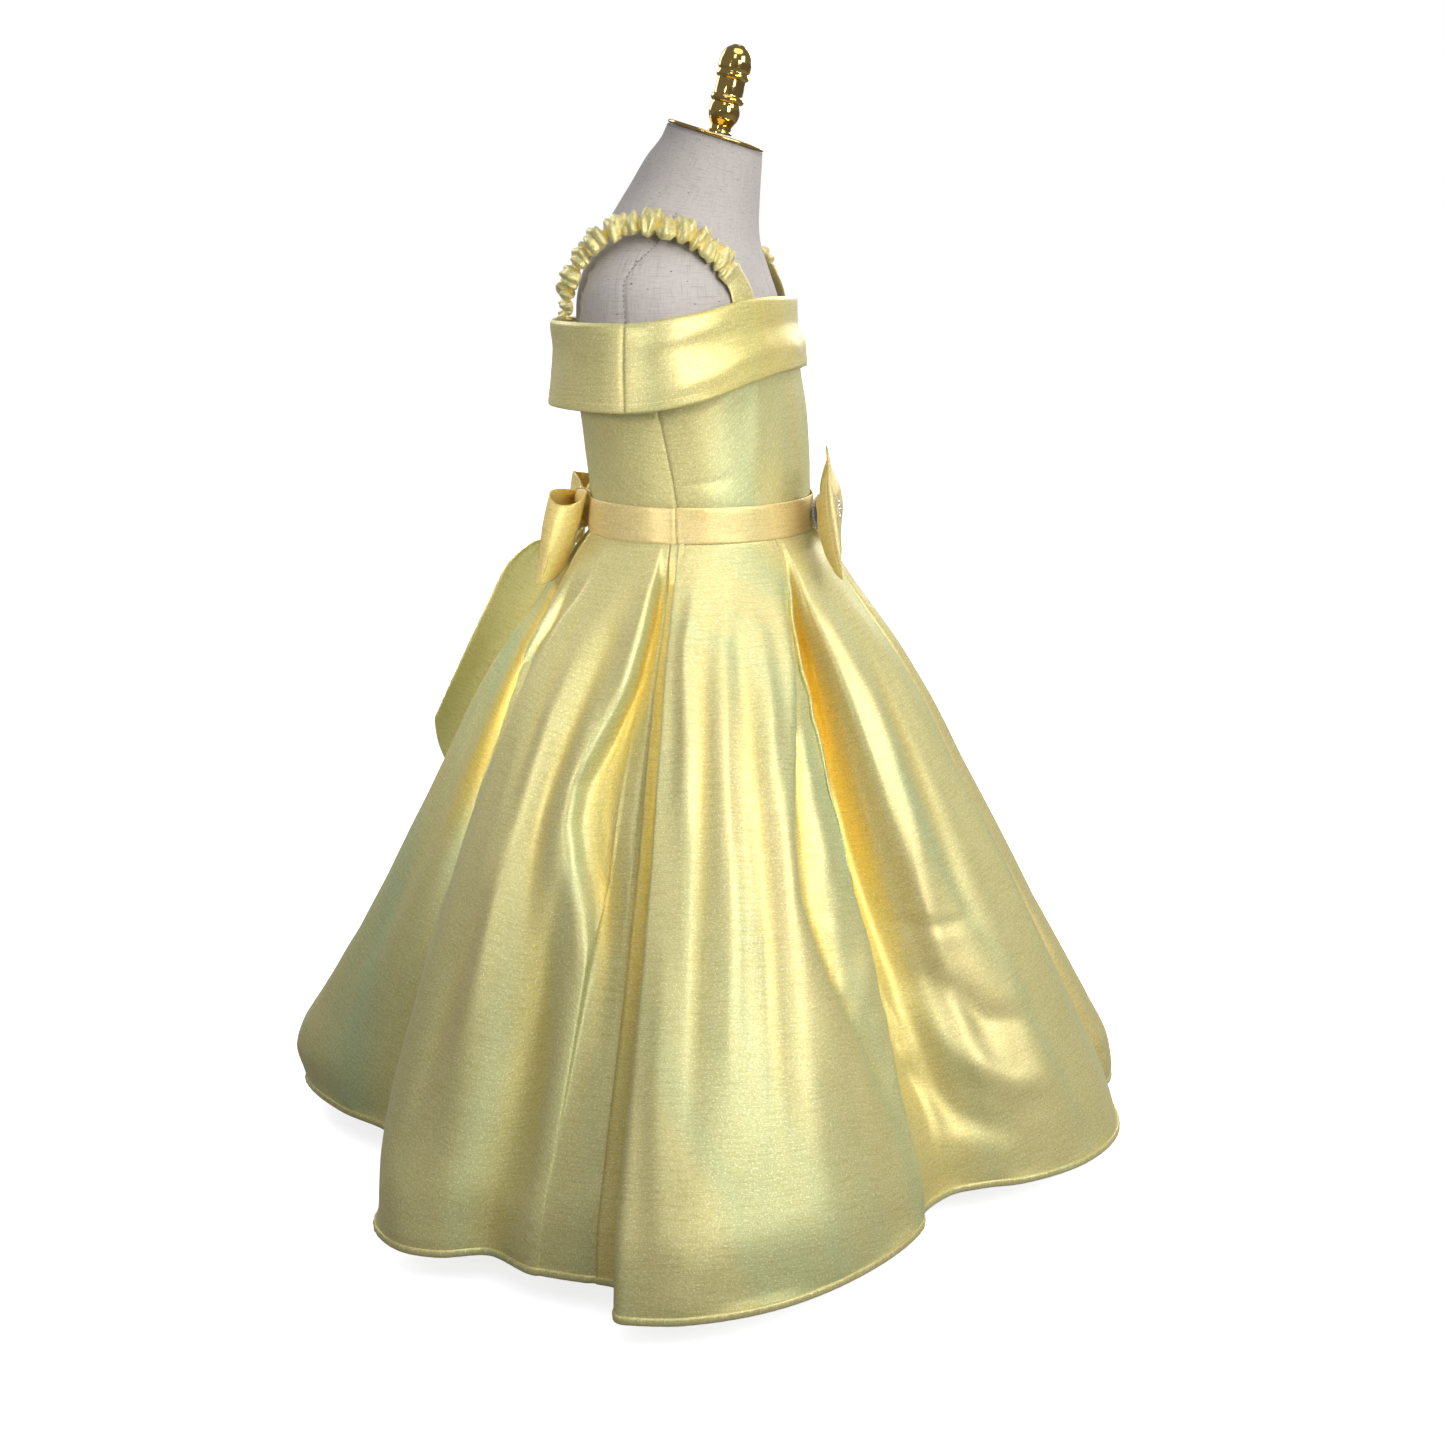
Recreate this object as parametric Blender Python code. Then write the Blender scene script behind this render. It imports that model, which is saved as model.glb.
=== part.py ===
# A child's off-shoulder ball gown on its limbless dress form, in metres.
# +Z is up, the wearer faces -Y, and the wearer's right side is -X.
import math

import bpy
from mathutils import Matrix, Vector

# Sizes of the whole
HEM_Z = 0.025
WAIST_Z = 0.4665
BAND_TOP_Z = 0.4920
BAND_OVER = 0.0009
GAP = 0.0003
CLOTH = 0.0015
CUFF_CLOTH = 0.0020
WAIST_HALF_X = 0.0984
WAIST_HALF_Y = 0.0818

# Sections of the linen form: height, centre in y, half width, front depth, back depth, squareness
FORM = (
    ("z", "cy", "a", "bf", "bb", "n", "slope"),
    (0.385, 0.002, 0.0915, 0.0770, 0.0800, 2.1, 0.0),
    (0.400, 0.002, 0.0945, 0.0795, 0.0830, 2.1, 0.0),
    (0.430, 0.001, 0.0955, 0.0795, 0.0820, 2.1, 0.0),
    (0.455, 0.000, 0.0942, 0.0772, 0.0780, 2.0, 0.0),
    (0.478, 0.000, 0.0932, 0.0762, 0.0762, 2.0, 0.0),
    (0.492, 0.000, 0.0932, 0.0762, 0.0762, 2.0, 0.0),
    (0.516, 0.002, 0.0945, 0.0770, 0.0770, 2.0, 0.0),
    (0.552, 0.005, 0.0978, 0.0770, 0.0775, 2.0, 0.0),
    (0.575, 0.008, 0.1050, 0.0760, 0.0770, 2.0, 0.0),
    (0.595, 0.010, 0.1130, 0.0725, 0.0755, 2.1, 0.0),
    (0.615, 0.012, 0.1180, 0.0690, 0.0725, 2.15, 0.0),
    (0.633, 0.014, 0.1165, 0.0652, 0.0690, 2.2, 0.0),
    (0.650, 0.015, 0.1080, 0.0605, 0.0640, 2.2, 0.0),
    (0.664, 0.014, 0.0940, 0.0560, 0.0600, 2.1, 0.02),
    (0.677, 0.011, 0.0760, 0.0515, 0.0565, 2.0, 0.06),
    (0.690, 0.007, 0.0600, 0.0475, 0.0515, 2.0, 0.12),
    (0.703, 0.001, 0.0490, 0.0422, 0.0475, 2.0, 0.20),
    (0.718, -0.004, 0.0415, 0.0380, 0.0420, 2.0, 0.27),
    (0.731, -0.008, 0.0365, 0.0350, 0.0355, 2.0, 0.31),
    (0.7408, -0.0103, 0.0340, 0.0332, 0.0332, 2.0, 0.317),
)

# Outer face of the bodice, by the same columns as the form
BODICE = (
    ("z", "cy", "a", "bf", "bb", "n"),
    (0.492, 0.000, 0.0964, 0.0796, 0.0800, 2.0),
    (0.516, 0.002, 0.0978, 0.0797, 0.0803, 2.0),
    (0.552, 0.005, 0.1008, 0.0797, 0.0812, 2.0),
    (0.575, 0.008, 0.1055, 0.0792, 0.0825, 2.0),
    (0.595, 0.010, 0.1105, 0.0778, 0.0842, 2.0),
    (0.615, 0.012, 0.1155, 0.0770, 0.0870, 2.0),
    (0.633, 0.014, 0.1195, 0.0785, 0.0885, 2.0),
)

# The fold-over cuff: share of its height from the top, and how far it stands out there
CUFF = (
    ("share", "a", "bf", "bb"),
    (0.00, 0.1265, 0.0795, 0.0922),
    (0.07, 0.1290, 0.0802, 0.0928),
    (0.35, 0.1298, 0.0808, 0.0905),
    (0.70, 0.1300, 0.0868, 0.0925),
    (1.00, 0.1295, 0.0885, 0.0958),
)
CUFF_CY = 0.013
# Angle from the front, top edge height and bottom edge height of the cuff
CUFF_EDGE = (
    ("deg", "top", "bottom"),
    (0, 0.6330, 0.5840),
    (30, 0.6330, 0.5820),
    (50, 0.6315, 0.5765),
    (75, 0.6225, 0.5630),
    (95, 0.6165, 0.5570),
    (130, 0.6170, 0.5580),
    (180, 0.6180, 0.5590),
)
# Top edge of the bodice, hidden behind the cuff and lower under the arms
BODICE_EDGE = (
    ("deg", "top"),
    (0, 0.6300),
    (34, 0.6290),
    (46, 0.6050),
    (60, 0.5900),
    (75, 0.5720),
    (90, 0.5680),
    (108, 0.5720),
    (128, 0.5960),
    (148, 0.6130),
    (180, 0.6140),
)

# Growth of the skirt's radius, as a share, down its length
FLARE = (
    ("t", "share"),
    (0.00, 0.000),
    (0.04, 0.062),
    (0.10, 0.140),
    (0.19, 0.255),
    (0.30, 0.375),
    (0.40, 0.468),
    (0.57, 0.635),
    (0.74, 0.800),
    (0.84, 0.896),
    (0.92, 0.968),
    (1.00, 1.000),
)
# One row for each crest, pleat edge and hollow of the skirt, going round from the front by
# the wearer's right: angle at the waist, angle and radius in mm at the hem, how far in mm
# the cloth is folded in, the share of the length at which it is folded in fully, and how
# far in mm it bells out a little above the hem
PLEATS = (
    ("waist", "hem", "radius", "fold", "full", "bell"),
    (0.0, -8.0, 311, 9, 0.25, -3),
    (2.0, -4.0, 318, 1, 0.25, -4),
    (12.0, 5.0, 325, 0, 0.25, -4),
    (25.0, 15.0, 313, 0, 0.25, -3),
    (36.5, 25.0, 287, 0, 0.25, -2),
    (38.7, 30.0, 271, 4, 0.25, 0),
    (39.3, 36.0, 261, 17, 0.25, 0),
    (39.9, 41.5, 268, 11, 0.25, 0),
    (41.0, 46.5, 281, 0, 0.25, 0),
    (52.0, 58.0, 312, 0, 0.25, 0),
    (65.0, 70.0, 339, 0, 0.25, 0),
    (78.0, 80.0, 353, 0, 0.06, 0),
    (85.5, 85.3, 354, 0, 0.06, 0),
    (87.0, 87.0, 341, 0, 0.06, 0),
    (87.6, 87.0, 323, 6, 0.06, 0),
    (90.0, 90.0, 314, 8, 0.06, 0),
    (92.4, 94.0, 314, 6, 0.06, 0),
    (93.2, 98.0, 312, 0, 0.06, 0),
    (100.0, 104.5, 303, 0, 0.25, 0),
    (112.0, 110.0, 322, 0, 0.25, 0),
    (124.0, 115.0, 330, 0, 0.25, 0),
    (137.0, 120.0, 324, 0, 0.25, 0),
    (146.5, 123.4, 307, 0, 0.25, 0),
    (147.6, 125.5, 292, 7, 0.25, 0),
    (148.5, 135.0, 254, 17, 0.25, 0),
    (150.0, 146.5, 255, 6, 0.25, 0),
    (155.0, 156.0, 284, 0, 0.25, 6),
    (165.0, 167.0, 316, 0, 0.25, 12),
    (175.0, 174.5, 319, 0, 0.25, 12),
    (179.0, 178.5, 307, 3, 0.25, 8),
    (180.0, 181.5, 294, 12, 0.25, 4),
    (181.0, 185.0, 303, 3, 0.25, 8),
    (190.0, 194.0, 319, 0, 0.25, 8),
    (203.0, 204.0, 309, 0, 0.25, 0),
    (210.8, 211.0, 283, 2, 0.25, 0),
    (212.0, 217.0, 263, 17, 0.25, 0),
    (213.2, 223.0, 276, 2, 0.25, 0),
    (225.0, 234.0, 312, 0, 0.25, 0),
    (240.0, 246.0, 331, 0, 0.25, 0),
    (255.0, 256.0, 320, 0, 0.06, 0),
    (266.8, 264.0, 302, 0, 0.06, 0),
    (267.6, 267.5, 294, 6, 0.06, 0),
    (270.0, 271.0, 291, 8, 0.06, 0),
    (272.4, 275.0, 299, 6, 0.06, 0),
    (273.2, 279.0, 313, 0, 0.06, 0),
    (285.0, 289.0, 340, 0, 0.25, 0),
    (300.0, 301.0, 344, 0, 0.25, 0),
    (312.0, 311.0, 319, 0, 0.25, 0),
    (319.6, 318.0, 286, 2, 0.25, 0),
    (320.8, 323.5, 266, 17, 0.25, 0),
    (322.0, 329.0, 281, 2, 0.25, 0),
    (333.0, 336.0, 312, 0, 0.25, 0),
    (347.0, 345.0, 327, 0, 0.25, 0),
    (358.0, 350.0, 321, 1, 0.25, 0),
)
SKIRT_LEVELS = (0.0, 0.03, 0.07, 0.13, 0.21, 0.32, 0.45, 0.58, 0.70, 0.81, 0.91, 1.0)
PER_FOLD = 2

# The strap: station along it, as x, y and z in mm, and its half width and half thickness
STRAP = (
    ("x", "y", "z", "half_w", "half_t"),
    (-69.6, -46.4, 622, 9.0, 1.2),
    (-71.2, -43.8, 635, 10.5, 1.6),
    (-77.0, -34.5, 653, 10.0, 2.3),
    (-83.5, -19.5, 668, 9.5, 3.0),
    (-87.5, -1.0, 677, 9.5, 3.2),
    (-89.0, 20.0, 680, 9.5, 3.2),
    (-89.5, 42.0, 675, 9.5, 3.2),
    (-88.0, 60.0, 661, 9.5, 3.0),
    (-85.0, 72.0, 643, 9.5, 3.0),
    (-82.5, 76.2, 625, 9.0, 2.0),
    (-81.0, 76.8, 609, 9.0, 1.4),
)

# The front bow
BOW_Z = 0.4800
CLASP_HALF = 0.0080
CLASP_OUTER = (0.0097, 0.0142)
CLASP_INNER = (0.0048, 0.0104)
BOW_Y = -0.0924
BOW_IN = 0.0065
BOW_OUT = 0.0620
BOW_TALL = 0.0830
BOW_WAIST = 0.0140
# Each wing: which side, how far it comes forward at its end and how far it is raised there
BOW_WINGS = (
    ("side", "forward", "lift"),
    (-1, 0.0180, 0.0040),
    (1, -0.0045, 0.0010),
)

# The sash tied at the back: loops and tails
SASH_Z = 0.4785
SASH_Y = 0.0930
LOOPS = (
    ("side", "out", "droop", "tall", "thick"),
    (-1, 0.064, 0.022, 0.056, 0.023),
    (1, 0.066, 0.011, 0.056, 0.024),
)
# Stations of the tails: how far down, then inner and outer edge: x and distance off the skirt
TAIL_RIGHT = (
    ("z_in", "x_in", "off_in", "z_out", "x_out", "off_out"),
    (0.4622, -0.0005, 0.0085, 0.4622, -0.0080, 0.0085),
    (0.4500, 0.006, 0.0100, 0.4530, -0.0125, 0.0330),
    (0.4300, 0.014, 0.0080, 0.4360, -0.0150, 0.0420),
    (0.3950, 0.021, 0.0070, 0.4050, -0.0150, 0.0370),
    (0.3450, 0.026, 0.0065, 0.3700, -0.0140, 0.0320),
    (0.2950, 0.028, 0.0065, 0.3400, -0.0130, 0.0300),
    (0.2560, 0.030, 0.0070, 0.3130, -0.0120, 0.0300),
)
TAIL_LEFT = (
    ("z_in", "x_in", "off_in", "z_out", "x_out", "off_out"),
    (0.4622, 0.0080, 0.0085, 0.4622, 0.0005, 0.0085),
    (0.4460, 0.0190, 0.0090, 0.4440, 0.0330, 0.0120),
    (0.4200, 0.0290, 0.0060, 0.4180, 0.0600, 0.0110),
    (0.3700, 0.0380, 0.0055, 0.3740, 0.0840, 0.0110),
    (0.3200, 0.0440, 0.0060, 0.3330, 0.0970, 0.0110),
    (0.2750, 0.0480, 0.0070, 0.2980, 0.1050, 0.0120),
    (0.2350, 0.0520, 0.0080, 0.2750, 0.1110, 0.0130),
)

# The neck plate and finial, and the hidden stand
PLATE_TILT = math.radians(17.6)
FINIAL_TILT = math.radians(14.0)
FINIAL_FORWARD = 0.0020
PLATE_R = 0.0350
PLATE_THICK = 0.0026
FINIAL = (
    ("r", "h"),
    (8.6, 0.0),
    (8.6, 1.3),
    (7.3, 2.2),
    (7.3, 5.2),
    (8.4, 7.6),
    (10.2, 11.0),
    (10.9, 15.5),
    (10.5, 19.8),
    (9.9, 21.6),
    (11.2, 22.6),
    (11.8, 24.4),
    (11.2, 26.2),
    (9.9, 27.2),
    (10.0, 33.0),
    (9.9, 38.4),
    (11.0, 39.2),
    (11.5, 41.0),
    (11.0, 42.8),
    (10.6, 43.8),
    (11.4, 46.0),
    (11.5, 50.0),
    (10.6, 54.8),
    (8.2, 59.0),
    (4.6, 61.7),
)
FINIAL_TOP = 0.0626
FINIAL_SCALE = 0.96
POLE_R = 0.0110
BASE_R = 0.1200
BASE_TALL = 0.0120


def rows(table):
    return table[1:]


def smooth(a, b, t):
    """0 below a, 1 above b and a soft step between."""
    t = min(1.0, max(0.0, (t - a) / (b - a)))
    return t * t * (3 - 2 * t)


def follow(table, x, column):
    """A column of a table read at x in its first column, by a curve through its rows."""
    body = rows(table)
    if x <= body[0][0]:
        return body[0][column]
    if x >= body[-1][0]:
        return body[-1][column]
    i = max(k for k, r in enumerate(body) if r[0] <= x)
    i = min(i, len(body) - 2)
    x0, x1 = body[i][0], body[i + 1][0]
    y0, y1 = body[i][column], body[i + 1][column]
    span = x1 - x0
    here = (y1 - y0) / span
    before = here if i == 0 else (y0 - body[i - 1][column]) / (x0 - body[i - 1][0])
    last = i + 2 >= len(body)
    after = here if last else (body[i + 2][column] - y1) / (body[i + 2][0] - x1)
    m0 = 0.0 if before * here <= 0 else 2 * before * here / (before + here)
    m1 = 0.0 if after * here <= 0 else 2 * after * here / (after + here)
    t = (x - x0) / span
    return (
        (2 * t**3 - 3 * t**2 + 1) * y0
        + (t**3 - 2 * t**2 + t) * span * m0
        + (-2 * t**3 + 3 * t**2) * y1
        + (t**3 - t**2) * span * m1
    )


def oval(psi, a, bf, bb, n=2.0):
    """Radius of a section in a direction, psi from the front toward the wearer's right."""
    s, c = abs(math.sin(psi)), abs(math.cos(psi))
    b = bf if math.cos(psi) >= 0 else bb
    return ((s / a) ** n + (c / b) ** n) ** (-1 / n)


def around(psi, r, cy, z):
    return Vector((-r * math.sin(psi), cy - r * math.cos(psi), z))


def section(table, z, psi):
    """Radius and centre of a table of sections at a height."""
    a, bf, bb, n = (follow(table, z, k) for k in (2, 3, 4, 5))
    return oval(psi, a, bf, bb, n), follow(table, z, 1)


def paint(name, colour, rough, metal=0.0):
    m = bpy.data.materials.new(name)
    m.use_nodes = True
    p = m.node_tree.nodes["Principled BSDF"]
    p.inputs["Base Color"].default_value = (*colour, 1)
    p.inputs["Roughness"].default_value = rough
    p.inputs["Metallic"].default_value = metal
    m.diffuse_color = (*colour, 1)
    m.roughness = rough
    m.metallic = metal
    return m


def piece(name, points, faces, colour, rough, metal=0.0):
    mesh = bpy.data.meshes.new(name)
    mesh.from_pydata([tuple(p) for p in points], [], faces)
    mesh.validate()
    o = bpy.data.objects.new(name, mesh)
    bpy.context.scene.collection.objects.link(o)
    mesh.materials.append(paint(name + "_mat", colour, rough, metal))
    return o


def grid_faces(rows_n, cols_n, closed=False):
    out = []
    for j in range(rows_n - 1):
        for i in range(cols_n if closed else cols_n - 1):
            k = (i + 1) % cols_n
            out.append((j * cols_n + i, j * cols_n + k, (j + 1) * cols_n + k, (j + 1) * cols_n + i))
    return out


def cloth(name, point, us, vs, colour, thick=CLOTH, seams=(False, False)):
    """A wall of cloth over point(u, v), its outer face, with u going toward the wearer's right.

    The inner face is the outer one moved in along its own slope, which is read past the
    ends too, so that two pieces that meet at a seam have the same slope there.
    """
    first, last = 2 * us[0] - us[1], 2 * us[-1] - us[-2]
    lines = [[point(u, v) for u in (first, *us, last)] for v in vs]
    outer, inner = [], []
    for j, line in enumerate(lines):
        above, below = lines[max(j - 1, 0)], lines[min(j + 1, len(lines) - 1)]
        for i in range(1, len(line) - 1):
            side = line[i + 1] - line[i - 1]
            down = below[i] - above[i]
            inward = down.cross(side).normalized()
            p = line[i]
            if i == 1 and seams[0]:
                p = p + side.normalized() * GAP * 0.5
            if i == len(line) - 2 and seams[1]:
                p = p - side.normalized() * GAP * 0.5
            outer.append(p)
            inner.append(p + inward * thick)
    n, m = len(us), len(vs)
    size = n * m
    faces = grid_faces(m, n)
    faces += [tuple(k + size for k in f[::-1]) for f in grid_faces(m, n)]
    rim = [(0, k) for k in range(n)] + [(j, n - 1) for j in range(1, m)]
    rim += [(m - 1, k) for k in range(n - 2, -1, -1)] + [(j, 0) for j in range(m - 2, 0, -1)]
    ids = [j * n + k for j, k in rim]
    for k, i in enumerate(ids):
        q = ids[(k + 1) % len(ids)]
        faces.append((q, i, i + size, q + size))
    return piece(name, outer + inner, faces, colour, 0.45)


def spread(a, b, count):
    return [a + (b - a) * k / count for k in range(count + 1)]


YELLOW = (0.78, 0.70, 0.36)
GOLD_CLOTH = (0.80, 0.68, 0.30)
LINEN = (0.56, 0.53, 0.51)
BRASS = (0.83, 0.62, 0.25)
SILVER = (0.75, 0.75, 0.78)


# The skirt
def pleat_value(s, column):
    """A column of the pleat table at a place s round it, by a curve through its rows."""
    body = rows(PLEATS)
    n = len(body)
    i = math.floor(s)
    f = s - i

    def at(k):
        v = body[k % n][column]
        return v + 360.0 * (k // n) if column < 2 else v

    p0, p1, p2, p3 = at(i - 1), at(i), at(i + 1), at(i + 2)
    m1, m2 = (p2 - p0) / 2, (p3 - p1) / 2
    if column in (2, 3):
        m1 = 0.0 if (p1 - p0) * (p2 - p1) <= 0 else m1
        m2 = 0.0 if (p2 - p1) * (p3 - p2) <= 0 else m2
    m1 = max(-3 * abs(p2 - p1), min(3 * abs(p2 - p1), m1))
    m2 = max(-3 * abs(p2 - p1), min(3 * abs(p2 - p1), m2))
    f2, f3 = f * f, f * f * f
    return (2 * f3 - 3 * f2 + 1) * p1 + (f3 - 2 * f2 + f) * m1 + (3 * f2 - 2 * f3) * p2 + (f3 - f2) * m2


def skirt_point(s, t):
    """A point of the skirt's outer face: s round the pleat table, t down from the waist."""
    wa = math.radians(pleat_value(s, 0))
    ha = math.radians(pleat_value(s, 1))
    rh = pleat_value(s, 2) / 1000
    fold = pleat_value(s, 3) / 1000
    full = pleat_value(s, 4)
    bell = pleat_value(s, 5) / 1000
    rw = oval(wa, WAIST_HALF_X, WAIST_HALF_Y, WAIST_HALF_Y)
    ang = wa + (ha - wa) * follow(FLARE, t, 1)
    deep = smooth(0.0, full, t) * (1 - smooth(0.45, 0.95, t))
    low = max(0.0, min(1.0, (t - 0.45) / 0.44)) ** 2 * (1 - smooth(0.92, 1.0, t))
    r = rw + (rh - rw) * follow(FLARE, t, 1) - fold * deep + bell * low
    return around(ang, r, 0.0, WAIST_Z + (HEM_Z - WAIST_Z) * t)


def row_at(waist_deg):
    return next(k for k, r in enumerate(rows(PLEATS)) if r[0] == waist_deg)


def skirt_piece(name, first, last):
    us = spread(first, last, (last - first) * PER_FOLD)
    return cloth(name, skirt_point, us, SKIRT_LEVELS, YELLOW, CLOTH, (True, True))


def back_of_skirt(x, z):
    """How far back the skirt's outer face is at x and z, near the middle of the back."""
    t = (WAIST_Z - z) / (WAIST_Z - HEM_Z)
    if t <= 0:
        return WAIST_HALF_Y * math.sqrt(max(0.0, 1 - (x / WAIST_HALF_X) ** 2))
    best = 0.0
    first, last = row_at(148.5), row_at(225.0)
    line = [skirt_point(first + (last - first) * k / 120, t) for k in range(121)]
    for p, q in zip(line, line[1:]):
        if min(p.x, q.x) <= x <= max(p.x, q.x):
            f = 0.0 if p.x == q.x else (x - p.x) / (q.x - p.x)
            best = max(best, p.y + (q.y - p.y) * f)
    return best


# Bodice, cuff and waistband
def bodice_point(deg, share):
    psi = math.radians(deg)
    fold = deg if deg <= 180 else 360 - deg
    top = follow(BODICE_EDGE, fold, 1)
    z = BAND_TOP_Z + GAP + (top - BAND_TOP_Z - GAP) * share
    r, cy = section(BODICE, z, psi)
    inner, _ = section(FORM, z, psi)
    return around(psi, max(r, inner + CLOTH + 0.0016), cy, z)


def seam_deg(share):
    """The side seam leans back as it goes up."""
    return 87.6 + 4.6 * share


def bodice_piece(name, first, last, count):
    """A panel between two seams: -1 left side, 1 right side, 2 back, 3 left side again."""

    def edge(which, share):
        side = seam_deg(share)
        return {-1: -side, 1: side, 2: 180.0, 3: 360 - side}[which]

    def point(u, share):
        return bodice_point((edge(first, share) * (1 - u) + edge(last, share) * u) % 360, share)

    levels = (1.0, 0.86, 0.70, 0.50, 0.28, 0.0)
    return cloth(name, point, spread(0, 1, count), levels, YELLOW, CLOTH, (True, True))


def cuff_point(deg, share):
    psi = math.radians(deg)
    fold = deg % 360 if deg % 360 <= 180 else 360 - deg % 360
    top = follow(CUFF_EDGE, fold, 1)
    low = follow(CUFF_EDGE, fold, 2)
    r = oval(psi, *(follow(CUFF, share, k) for k in (1, 2, 3)))
    return around(psi, r, CUFF_CY, top + (low - top) * share)


def cuff_piece(name, a, b, count):
    levels = (0.0, 0.07, 0.35, 0.70, 1.0)
    return cloth(name, cuff_point, spread(a, b, count), levels, YELLOW, CUFF_CLOTH, (True, True))


def band_point(deg, share):
    psi = math.radians(deg)
    r = oval(psi, WAIST_HALF_X, WAIST_HALF_Y, WAIST_HALF_Y) + BAND_OVER - 0.0012 * (1 - share)
    return around(psi, r, 0.0, BAND_TOP_Z + (WAIST_Z + GAP - BAND_TOP_Z) * share)


def band_piece(name, a, b, count):
    us = spread(a, b, count)
    return cloth(name, band_point, us, (0.0, 0.5, 1.0), YELLOW, CLOTH + BAND_OVER, (True, True))


# Straps
def tube(name, stations, colour, sides=10):
    """A closed flat tube through stations of centre, width direction, half width and half thickness."""
    points, faces = [], []
    for c, wide, thin, hw, ht in stations:
        for k in range(sides):
            a = 2 * math.pi * k / sides
            points.append(c + wide * math.cos(a) * hw + thin * math.sin(a) * ht)
    faces += grid_faces(len(stations), sides, closed=True)
    faces.append(tuple(range(sides))[::-1])
    faces.append(tuple(range((len(stations) - 1) * sides, len(stations) * sides)))
    return piece(name, points, faces, colour, 0.5)


def strap(name, side):
    body = rows(STRAP)
    mids = [Vector((side * -r[0], r[1], r[2])) / 1000 for r in body]
    stations = []
    for k, r in enumerate(body):
        along = (mids[min(k + 1, len(mids) - 1)] - mids[max(k - 1, 0)]).normalized()
        centre = Vector((mids[k].x * 0.45, 0.014, 0.610))
        out = (mids[k] - centre).normalized()
        wide = along.cross(out).normalized()
        thin = wide.cross(along).normalized()
        stations.append((mids[k], wide, thin, r[3] / 1000, r[4] / 1000))
    stations = [(c, -w, t, hw, ht) for c, w, t, hw, ht in stations]
    return tube(name, stations, YELLOW)


# Front bow and its clasp
def loop_point(side, inner, out, shape):
    """Where a ribbon loop lies: a turns from the near layer round the outer fold to the far one."""

    def point(a, q):
        f = math.sin(a) ** 0.62 if 0 < a < math.pi else 0.0
        x = inner + (out - inner) * f
        y, z = shape(f, q, math.cos(a))
        return Vector((side * x, y, z))

    return point


def bow_wing(name, side, forward, lift):
    """A ribbon loop: out along its front layer, round the fold and in along its back layer."""

    def shape(f, q, turn):
        deep = 0.0026 + 0.0056 * (1 - abs(q) ** 2.2) * smooth(0.05, 0.75, f)
        tall = BOW_WAIST + (BOW_TALL - BOW_WAIST) * smooth(0.0, 1.05, f)
        y = BOW_Y - forward * f**1.6 - 0.006 * q * f - deep * turn
        return y, BOW_Z - q * tall / 2 + lift * f

    point = loop_point(side, BOW_IN, BOW_OUT, shape)
    us = spread(0, math.pi, 18)
    if side > 0:
        us = us[::-1]
    return cloth(name, point, us, spread(-1, 1, 6), GOLD_CLOTH, 0.0010)


def ring(name, x_half, outer, inner, centre, colour, rough, metal):
    """A band round the x axis through a flat oval hole."""
    sides = 24
    points = []
    for x, (hy, hz) in ((-x_half, outer), (x_half, outer), (x_half, inner), (-x_half, inner)):
        for k in range(sides):
            a = 2 * math.pi * k / sides
            points.append(Vector((x, hy * math.cos(a), hz * math.sin(a))) + centre)
    faces = []
    for j in range(4):
        for k in range(sides):
            n, m = (k + 1) % sides, (j + 1) % 4
            faces.append((j * sides + k, j * sides + n, m * sides + n, m * sides + k))
    return piece(name, points, faces, colour, rough, metal)


# Back sash
def sash_loop(name, side, out, droop, tall, thick):
    """A ribbon loop of the sash, seen from behind: its back layer comes first."""

    def shape(f, q, turn):
        deep = 0.0016 + thick * 0.46 * smooth(0.05, 0.9, f) * (1 - 0.25 * q)
        h = 0.022 + (tall - 0.022) * smooth(-0.2, 0.8, f)
        y = SASH_Y + 0.011 * f + deep * turn + 0.010 * f * q
        return y, SASH_Z - q * h / 2 - droop * f**1.4

    point = loop_point(side, 0.0088, out, shape)
    us = spread(0, math.pi, 16)
    if side < 0:
        us = us[::-1]
    return cloth(name, point, us, spread(-1, 1, 4), GOLD_CLOTH)


def knot(name):
    sides, levels = 16, 8
    points, faces = [], []
    for j in range(levels + 1):
        a = -math.pi / 2 + math.pi * (j + 0.5) / (levels + 1)
        for k in range(sides):
            b = 2 * math.pi * k / sides
            r = math.cos(a) ** 0.6
            x, y = 0.0082 * r * math.cos(b), 0.0100 * r * math.sin(b)
            points.append(Vector((x, SASH_Y + y, SASH_Z + 0.0150 * math.sin(a))))
    faces += grid_faces(levels + 1, sides, closed=True)
    faces.append(tuple(range(sides))[::-1])
    faces.append(tuple(range(levels * sides, (levels + 1) * sides)))
    return piece(name, points, faces, GOLD_CLOTH, 0.5)


def sash_tail(name, table):
    """A flat end of the sash, down from the knot: its two edges follow the rows of its table."""

    def point(u, k):
        z_in, x_in, off_in, z_out, x_out, off_out = rows(table)[k]
        a = Vector((x_in, max(back_of_skirt(x_in, z_in), 0.086) + off_in, z_in))
        b = Vector((x_out, max(back_of_skirt(x_out, z_out), 0.086) + off_out, z_out))
        p = a.lerp(b, u)
        p.y = max(p.y + 0.004 * math.sin(math.pi * u) * min(1, k), back_of_skirt(p.x, p.z) + 0.0045)
        return p

    us = spread(0, 1, 4)
    if rows(table)[1][1] < rows(table)[1][4]:
        us = us[::-1]
    return cloth(name, point, us, range(len(rows(table))), YELLOW)


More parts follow.
